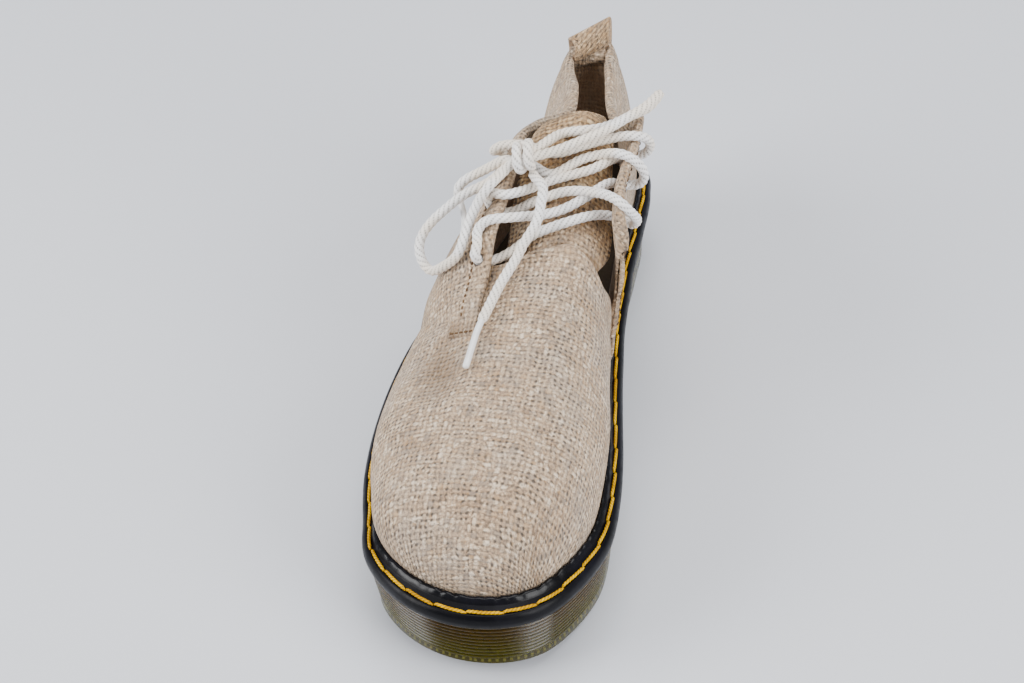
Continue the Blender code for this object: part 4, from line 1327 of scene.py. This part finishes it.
def tongue_patches():
    """Across the tongue from edge to edge, along it from under the vamp to its top.

    The height falls off from the middle line as a power of the share of the half width.  Shade is painted
    on the cloth close to the vamp's edge; the cloth is warmer towards the top, with warm shade painted
    along its inner edge.
    """
    share, part = np.meshgrid(np.linspace(-1, 1, 61), np.linspace(0, 1, 90), indexing="ij")
    station = TONGUE.key[0] + (TONGUE.key[-1] - TONGUE.key[0]) * np.sin(part * math.pi / 2)
    half = np.where(share < 0, TONGUE("outer_half", station), TONGUE("inner_half", station))
    drop = np.where(share < 0, TONGUE("outer_drop", station), TONGUE("inner_drop", station))
    x = TONGUE("x", station) + share * half
    z = TONGUE("height", station) - np.abs(share) ** TONGUE_CURL * drop
    points = np.stack([x, station - LENGTH / 2, z], axis=-1)
    normals = grid_normals(points, np.array([0.0, -0.6, 0.8]))
    edge = np.minimum((1 - np.abs(share)) * half, along_rows(points)[:, -1:] - along_rows(points))
    hem = np.exp(-((edge / TONGUE_HEM) ** 4))
    shape = 0.5 * hem + creases(points, [TONGUE_CREASE])
    shape += TONGUE_WAVE * np.sin(points[..., 0] / 6.0 + points[..., 1] / 15.0)
    points = points + normals * (shape * ease(part, 0.25, 0.4))[..., None]
    middle = along_columns(points)
    cut = np.stack([middle - middle[30:31], along_rows(points)], axis=-1)
    # Warmer towards the top; the term along the inner edge is painted warm shade beside the inner flap.
    warm = 0.15 + 0.85 * ease(station, *TONGUE_WARM) + 0.5 * ease(share, 0.4, 1.0)
    # Painted shade on the tongue just behind the vamp's edge.
    far = far_from(points, VAMP[0][:, -1])
    stain = sum(depth * np.exp(-((far / reach) ** power)) for depth, reach, power in THROAT_SHADE)
    marks = {"warm": np.clip(warm, 0, 1), "stain": stain, "seam": hem, "lining": 0.0}
    thick = CLOTH + TONGUE_FOLD * hem
    return sheet(points, normals, thick, cut, marks, grid_loop(*points.shape[:2]))


piece("tongue_cloth", tongue_patches(), hemp, "cloth", "tongue")

# Heel loop: narrow strip of the same cloth, folded over behind the collar to pull the shoe on by.  Its two
# ends are sewn down at the back seam, and the fold stands higher on the inner side.
LOOP_CLOTH = 1.6
LOOP_LEFT = -2.0
LOOP_RIGHT = 16.5
LOOP_SLANT = 7.0
LOOP_OPEN = 4.2
LOOP_DROP = 3.0
LOOP_TURN = 4.0
LOOP_EDGE = 2.5
LOOP_CENTRE = (7.0, 144.8, 99.0)
# Painted shade in the open end of the loop's fold and along the bottom of its front layer.
LOOP_SHADE = ((-1, 144, 101, 4, 0.4), (10, 142, 99, 5, 0.3))
LOOP_PROFILE = Table(
    "order y z",
    (0, 147.9, 84.0),
    (1, 147.8, 93.0),
    (2, 148.8, 99.0),
    (3, 148.4, 104.0),
    (4, 145.4, 107.0),
    (5, 142.2, 104.0),
    (6, 141.2, 100.0),
    (7, 142.0, 97.6),
    (8, 144.6, 97.0),
)


def loop_patches():
    """Profile of the fold carried across the heel, slanting up and back to the inner side.

    The front layer starts further in than the back layer, so the fold stands open at its outer end.
    """
    orders = np.linspace(0, LOOP_PROFILE.key[-1], 65)
    order, part = np.meshgrid(orders, np.linspace(0, 1, 25), indexing="ij")
    y, z = LOOP_PROFILE("y", order), LOOP_PROFILE("z", order)
    lowest, highest = LOOP_PROFILE.columns["z"].min(), LOOP_PROFILE.columns["z"].max()
    left = LOOP_LEFT + LOOP_OPEN * ease(order, 3.2, 5.0)
    x = left + (LOOP_RIGHT - left) * part
    top = ease(z, lowest, highest)
    loose = np.maximum(top, ease(order, 4.0, 5.0)) * (1 - part)
    z = z + LOOP_SLANT * (0.3 + 0.7 * top) * part - LOOP_DROP * loose
    points = np.stack([x, y - LOOP_TURN * loose, z], axis=-1)
    normals = grid_normals(points, (points - LOOP_CENTRE) * [0.0, 1.0, 1.0])
    points = points + normals * LOOP_CLOTH / 2
    cut = np.stack([x, along_columns(points)], axis=-1)
    thick = np.full(x.shape, LOOP_CLOTH)
    edge = np.exp(-((np.minimum(part, 1 - part) * (LOOP_RIGHT - LOOP_LEFT) / LOOP_EDGE) ** 4))
    marks = {"warm": 0.85, "stain": spots(points, LOOP_SHADE), "seam": edge, "lining": 0.0}
    return sheet(points, normals, thick, cut, marks, grid_loop(*points.shape[:2]))


piece("heel_loop_strip", loop_patches(), hemp, "cloth", "heel_loop")

# Eyelets: small rings of plated metal, turned and rolled over.  They are set from inside the flaps, so that
# only the lace shows outside.
EYELET_BORE = 5.0
EYELET_FLANGE = 8.8
EYELET_BARREL = 5.8
EYELET_ROLL = 0.6
EYELET_SEAT = -CLOTH - 0.6


def eyelet_patches(centre, normal):
    """Turned ring: up the bore, over the barrel's end, down outside, and round the rolled flange."""
    bore, barrel, flange = EYELET_BORE / 2, EYELET_BARREL / 2, EYELET_FLANGE / 2
    roll = np.linspace(math.pi / 2, -math.pi, 12)
    rolled = flange - EYELET_ROLL / 2 * (1 - np.cos(roll))
    radius = np.concatenate([[bore, bore, barrel, barrel], rolled, [bore]])
    rolled_rise = EYELET_SEAT - EYELET_ROLL / 2 * (1 - np.sin(roll))
    rise = np.concatenate([[EYELET_SEAT, -0.5, -0.3, EYELET_SEAT], rolled_rise, [EYELET_SEAT]])
    turn = np.linspace(0, 2 * math.pi, 49)
    side = unit(np.cross(normal, [0.0, 0.0, 1.0]))
    up = np.cross(side, normal)
    ring = np.cos(turn)[:, None] * side + np.sin(turn)[:, None] * up
    points = centre + radius[:, None, None] * ring + rise[:, None, None] * normal
    return [(points, points[..., :2], {})]


def metal_finish():
    """Grey plated metal, a little tarnished, with fine turning marks."""
    metal = Finish("eyelet_metal", {"Metallic": 1.0})
    place = metal.place()
    tarnish = metal.noise(place, 350.0, 4.0, 0.6)
    metal.set("Base Color", metal.mix(tarnish.between(0.35, 0.7), (0.55, 0.56, 0.58), (0.28, 0.29, 0.31)))
    metal.set("Roughness", 0.25 + tarnish * 0.25)
    metal.bump(metal.noise(place, 1500.0, 2.0), 0.05, 0.4)
    return metal


steel = metal_finish()
for (side, number), (centre, normal) in EYELET_FRAMES.items():
    name = f"eyelet_{side}_{number}"
    piece(f"{name}_ring", eyelet_patches(centre, normal), steel, "metal", name, sharp=60)

# Lace: cotton cord twisted from four plies.  It runs through all six eyelets, and its two ends are tied
# in a bow whose ends have thin plastic tips.
LACE = 4.3
LACE_LAY = 11.5
LACE_PLIES = 4
LACE_STEP = 0.8
AGLET = 2.7
AGLET_LENGTH = 25.0
AGLET_LAP = 2.0
CORD_SIDES = 32
AGLET_SIDES = 20
CROSS_TOP = [
    (-16, 47.5, 108), (-17.5, 44, 110.5), (-15, 43, 113.5), (-9.5, 42, 116), (-3.5, 41, 117),
    (3.5, 40, 115.5), (9.5, 39, 115.5), (20, 41.5, 118), (29.5, 46, 119), (37.5, 48.5, 120),
    (43.5, 50, 119.5), (47, 53, 116), (48, 55, 111), (45, 56.5, 105.5),
]
CROSS_UPPER_BACK = [
    (35.8, 50, 107), (35.8, 46.5, 110), (33.5, 41, 113), (27, 34, 113), (20.5, 31, 112), (9.5, 27, 110),
    (2, 23, 108.5), (-3.5, 16.5, 110.5), (-7.5, 15, 110.5), (-14.5, 17.5, 108),
]
CROSS_LOWER_BACK = [
    (-3.5, 19.5, 99), (2, 21, 102), (8.5, 22, 105), (15, 22.5, 108), (20.5, 22.5, 109.5),
    (29.5, 19.5, 112), (38, 13.5, 115), (43, 10, 114.5), (46.5, 11.5, 109), (47.5, 17, 100.5),
    (45, 19.5, 97),
]
BAR_BOTTOM = [
    (34.5, 19.5, 100.5), (30, 17, 102), (24.5, 13, 103), (20, 10, 103), (10, 8, 99), (5, 6.5, 96.5),
    (1.5, 3.5, 94.5),
]
CROSS_LOWER_FRONT = [
    (-15.5, -8.5, 96.2), (-15.3, -4.5, 99.5), (-16, -1, 101.5), (-15, 1.5, 103.8), (-11.5, 2.5, 106.5),
    (-5.5, 3, 108), (1.5, 8, 105.5), (8, 12, 103.8), (15.5, 15.5, 104), (22.5, 19, 106.5),
    (29, 24.5, 108.5), (34, 32, 107.5),
]
CROSS_UPPER_FRONT = [
    (45, 38, 103.5), (48, 36.5, 109.5), (44.5, 36, 117), (38, 37.5, 119), (30, 39.5, 116.5),
    (20.5, 36.5, 114.5), (9.5, 30.5, 111), (1.5, 36, 110),
]
KNOT_START = (-3.76, 28.0, 119.9)
KNOT_ADVANCE = (2.4, 0.0, 1.0)
KNOT_RADIUS = 5.1
KNOT_HALF_TURNS = np.linspace(-0.6, 2.85, 24)[:, None]
KNOT_ANGLE = KNOT_HALF_TURNS * math.pi
KNOT_WRAP = np.concatenate([0 * KNOT_ANGLE, -np.sin(KNOT_ANGLE), np.cos(KNOT_ANGLE)], axis=1)
KNOT = KNOT_START + KNOT_HALF_TURNS * KNOT_ADVANCE + KNOT_RADIUS * KNOT_WRAP
BOW_LEFT = [
    (-1, 29, 120), (-5.5, 27, 118), (-9, 24, 115.5), (-13, 15, 115), (-18.5, 11, 106.5), (-21.5, 0, 99.5),
    (-23.5, -5.5, 94), (-31, -4.8, 85.2), (-37.5, -2, 80.5), (-42, 2, 83.5), (-43, 6, 88), (-39, 12, 94.5),
    (-33, 17, 99), (-25, 22, 104), (-17, 25, 107.5), (-12, 26.5, 111.5), (-7, 28, 116.5), (-1.5, 28.5, 120.5),
]
BOW_RIGHT = [
    (-0.5, 28.5, 120), (3.2, 34, 120.8), (7.5, 40.5, 121), (11, 46.5, 120), (21.5, 48, 122), (31, 54, 121),
    (40, 61.5, 122), (47, 68, 123.5), (49.5, 71.5, 126), (46.5, 63.5, 127), (39.5, 55, 126),
    (31.5, 46.5, 124.8), (20.5, 38.5, 123), (10, 33.5, 120.5), (5.5, 31, 120.3), (0.5, 28.5, 120),
]
END_FRONT = [
    (2.4, 26.4, 114.9), (4.3, 23.2, 114.5), (8, 19, 114), (9, 11, 111.5), (8.5, 2.5, 107.5), (5, -3, 102.5),
    (2, -8.5, 97.5), (-1.5, -17, 94), (-4, -25.5, 91.5), (-6, -34.5, 89.5), (-7.4, -41.5, 88.3),
    (-8.4, -52, 86.0), (-9.0, -62.3, 84.2),
]
END_SIDE = [
    (-1, 28.5, 119), (-6, 29.5, 117), (-8.7, 29.6, 117.3), (-12, 30, 115.6), (-20, 30.5, 109.5),
    (-26.5, 29.5, 105.5), (-30, 27.5, 101.5), (-28.5, 24, 96.5), (-23.5, 5, 96),
]


def through(side, number):
    """The middle of an eyelet, a point of the lace's route."""
    centre, normal = EYELET_FRAMES[(side, number)]
    return [tuple(centre - normal * CLOTH / 2)]


LACING = (
    CROSS_TOP[5:]
    + through("inner", 1)
    + CROSS_UPPER_BACK
    + through("outer", 2)
    + CROSS_LOWER_BACK
    + through("inner", 3)
    + BAR_BOTTOM
    + through("outer", 3)
    + CROSS_LOWER_FRONT
    + through("inner", 2)
    + CROSS_UPPER_FRONT
    + through("outer", 1)
    + CROSS_TOP[:6]
)


def spline(route, step):
    """Points at even steps on the curve of least bending through the route.

    Each coordinate is a natural cubic of the chord length; its second derivatives at the route's points
    solve one tridiagonal system.
    """
    route = np.array(route, float)
    chord = np.linalg.norm(np.diff(route, axis=0), axis=1)
    at = np.concatenate([[0.0], np.cumsum(chord)])
    count = len(route)
    matrix = np.eye(count)
    wanted = np.zeros((count, 3))
    inside = np.arange(1, count - 1)
    matrix[inside, inside - 1] = chord[:-1]
    matrix[inside, inside] = 2 * (chord[:-1] + chord[1:])
    matrix[inside, inside + 1] = chord[1:]
    rate = np.diff(route, axis=0) / chord[:, None]
    wanted[1:-1] = 6 * np.diff(rate, axis=0)
    curve = np.linalg.solve(matrix, wanted)

    def read(x):
        """Points of the cubics at chord lengths x."""
        i = np.clip(np.searchsorted(at, x, side="right") - 1, 0, count - 2)
        wide = chord[i][:, None]
        a, b = (at[i + 1] - x)[:, None], (x - at[i])[:, None]
        bend = curve[i] * a ** 3 + curve[i + 1] * b ** 3
        start = (route[i] / wide - curve[i] * wide / 6) * a
        end = (route[i + 1] / wide - curve[i + 1] * wide / 6) * b
        return bend / (6 * wide) + start + end

    fine = read(np.linspace(0, at[-1], 40 * count))
    far = along_rows(fine[None])[0]
    even = np.linspace(0, far[-1], max(3, round(far[-1] / step) + 1))
    return line_points(fine, far, even)


def carried_sides(path):
    """Two directions across a path that turn no more than the path does.

    Each one is the one before it, less its part along the path, at unit length.
    """
    tangent = unit(np.gradient(path, axis=0))
    sides = np.empty_like(path)
    side = np.cross(tangent[0], [0.3, 0.2, 1.0])
    for number, ahead in enumerate(tangent):
        side = unit(side - ahead * (side @ ahead))
        sides[number] = side
    return sides, np.cross(tangent, sides)


def cord_patches(path, diameter, lay, plies, steps):
    """Twisted cord: a section with a lobe for each ply, turned left-handed once in each lay.

    Both ends are rounded off within half a diameter.  Without plies the section is a plain circle.
    """
    first, second = carried_sides(path)
    run = along_rows(path[None])[0]
    angle = np.linspace(0, 2 * math.pi, steps + 1)
    phase = plies / 2 * (angle + 2 * math.pi * run[:, None] / lay) if plies else np.zeros((len(run), 1))
    lobe = 0.62 + 0.38 * np.abs(np.cos(phase)) ** 0.6 * np.ones(len(angle))
    nearest = np.minimum(run, run[-1] - run) / (diameter / 2)
    dome = np.sqrt(np.clip(1 - (1 - np.clip(nearest, 0, 1)) ** 2, 0, 1))
    ring = np.cos(angle)[:, None] * first[:, None] + np.sin(angle)[:, None] * second[:, None]
    points = path[:, None] + diameter / 2 * (lobe * dome[:, None])[..., None] * ring
    uv = np.stack(np.broadcast_arrays(angle / (2 * math.pi), run[:, None]), axis=-1)
    return [(points, uv, {"groove": 1 - lobe})]


def lace_finish():
    """Off-white cotton: plies of fine fibres, with painted shade in the grooves, and here and there a warmer
    stretch of painted reflected light.
    """
    lace = Finish("cotton_lace", {"Roughness": 0.9, "Sheen Weight": 0.1, "Sheen Roughness": 0.5})
    place = lace.place()
    turn, run, _ = lace.split(lace.cut())
    twist = lace.vector((turn + run / LACE_LAY) * 40.0, run * 0.5)
    fibre = lace.noise(twist, 1.0, 3.0, 0.6)
    # Painted light: warmer stretches stand for warm light reflected onto the lace.
    warm = lace.noise(place, 38.0, 2.0)
    colour = lace.mix(warm.between(0.42, 0.62), (0.96, 0.945, 0.935), (0.94, 0.85, 0.73))
    colour = lace.mix(fibre.between(0.45, 0.75) * 0.25, colour, (0.66, 0.62, 0.58))
    # Painted shade in the grooves between the plies.
    groove = lace.mark("groove").between(0.07, 0.30)
    lace.set("Base Color", lace.mix(groove * 0.85, colour, (0.20, 0.175, 0.15)))
    lace.bump(fibre, 0.5, 0.6)
    return lace


cotton = lace_finish()
CROSSINGS = ("lace_cross_top", "lace_cross_upper", "lace_cross_lower", "lace_bar_bottom")
lacing = cord_patches(spline(LACING, LACE_STEP), LACE, LACE_LAY, LACE_PLIES, CORD_SIDES)
piece("lacing", lacing, cotton, "lace", *CROSSINGS)


def tip_finish():
    """Milky plastic film rolled round the cord's end."""
    tip = Finish("lace_tip", {"Roughness": 0.3, "Coat Weight": 0.5})
    place = tip.place()
    cloud = tip.noise(place, 250.0, 3.0)
    tip.set("Base Color", tip.mix(cloud.between(0.3, 0.7), (0.74, 0.74, 0.74), (0.84, 0.84, 0.83)))
    tip.bump(cloud, 0.1, 0.4)
    return tip


plastic = tip_finish()


def free_cord(name, node, route, tipped):
    """One free stretch of the bow, with a plastic tip on the last of it where it is an end."""
    path = spline(route, LACE_STEP)
    run = along_rows(path[None])[0]
    tip_start = run[-1] - AGLET_LENGTH
    body = path[run <= tip_start + AGLET_LAP] if tipped else path
    cord = piece(name, cord_patches(body, LACE, LACE_LAY, LACE_PLIES, CORD_SIDES), cotton, "lace", node)
    pieces = []
    if tipped:
        tip = cord_patches(path[run >= tip_start], AGLET, LACE_LAY, 0, AGLET_SIDES)
        pieces = [piece(f"{name}_tip", tip, plastic, "lace")]
    tuple(path[0] * MM)
    (body * MM).tolist()


free_cord("bow_knot", "lace_knot", KNOT, False)
free_cord("bow_left", "lace_loop_left", BOW_LEFT, False)
free_cord("bow_right", "lace_loop_right", BOW_RIGHT, False)
free_cord("bow_end_front", "lace_end_front", END_FRONT, True)
free_cord("bow_end_side", "lace_end_side", END_SIDE, True)

# Stage: plain pale floor under soft light, with a box and a low strip on each side and a large box above.
# The camera looks from the photograph's angle and is aimed at the middle of the shoe.
FLOOR_SIZE = 6.0
LIGHT_AIM = Vector((0.0, 0.0, 0.05))
LIGHTS = {
    "box_left": ((-1.3, -0.5, 0.9), 1.0, 27.5),
    "box_right": ((1.25, -0.6, 0.9), 1.0, 24.5),
    "strip_left": ((-1.1, -0.65, 0.34), 0.6, 4.5),
    "strip_right": ((1.1, -0.7, 0.34), 0.6, 4.5),
    "box_above": ((0.1, 0.3, 1.9), 1.6, 36.0),
}
SKY = {"Color": (0.93, 0.96, 1.0, 1.0), "Strength": 0.415}
CAMERA_AT = np.array([128.4, -549.7, 567.3])
CAMERA_FORWARD = np.array([-0.1029, 0.7266, -0.6794])
CAMERA_RIGHT = np.array([0.9901, 0.1403, 0.0])
CAMERA_UP = np.array([-0.0953, 0.6727, 0.7338])
PHOTO_FOCUS = 1422.0
PHOTO_MIDDLE = (512.0, 341.5)
FRAME_MIDDLE = (411.5, 347.5)
FRAME_ZOOM = 1.253
FRAME_WIDTH = 1024
SENSOR = 36.0


def floor_finish():
    """Pale, slightly cool table top, a little cloudy."""
    floor = Finish("pale_floor", {"Roughness": 0.55, "Specular IOR Level": 0.3})
    place = floor.place()
    cloud = floor.noise(place, 3.0, 2.0)
    floor.set("Base Color", floor.mix(cloud, (0.615, 0.632, 0.678), (0.641, 0.658, 0.704)))
    return floor


bpy.ops.mesh.primitive_plane_add(size=FLOOR_SIZE)
ground = bpy.context.object
ground.name = "floor"
ground.data.materials.append(floor_finish().material)


def soft_box(name, at, size, power):
    """Square area light turned towards the shoe."""
    data = bpy.data.lights.new(name, "AREA")
    data.energy = power
    data.size = size
    lamp = bpy.data.objects.new(name, data)
    lamp.location = at
    lamp.rotation_euler = (LIGHT_AIM - Vector(at)).to_track_quat("-Z", "Y").to_euler()
    bpy.context.scene.collection.objects.link(lamp)


for name, (at, size, power) in LIGHTS.items():
    soft_box(name, at, size, power)
world = bpy.data.worlds.new("studio")
world.use_nodes = True
for socket, value in SKY.items():
    world.node_tree.nodes["Background"].inputs[socket].default_value = value
bpy.context.scene.world = world

camera_data = bpy.data.cameras.new("camera")
camera_data.sensor_width = SENSOR
camera_data.lens = PHOTO_FOCUS * FRAME_ZOOM / FRAME_WIDTH * SENSOR
camera_data.clip_start = 0.05
camera = bpy.data.objects.new("camera", camera_data)
off_x, off_y = FRAME_MIDDLE[0] - PHOTO_MIDDLE[0], PHOTO_MIDDLE[1] - FRAME_MIDDLE[1]
ahead = unit(CAMERA_FORWARD * PHOTO_FOCUS + CAMERA_RIGHT * off_x + CAMERA_UP * off_y)
right = unit(CAMERA_RIGHT - ahead * (CAMERA_RIGHT @ ahead))
turned = np.eye(4)
turned[:3, 0], turned[:3, 1], turned[:3, 2] = right, np.cross(right, ahead), -ahead
turned[:3, 3] = CAMERA_AT * MM
camera.matrix_world = Matrix(turned.tolist())
bpy.context.scene.collection.objects.link(camera)
bpy.context.scene.camera = camera
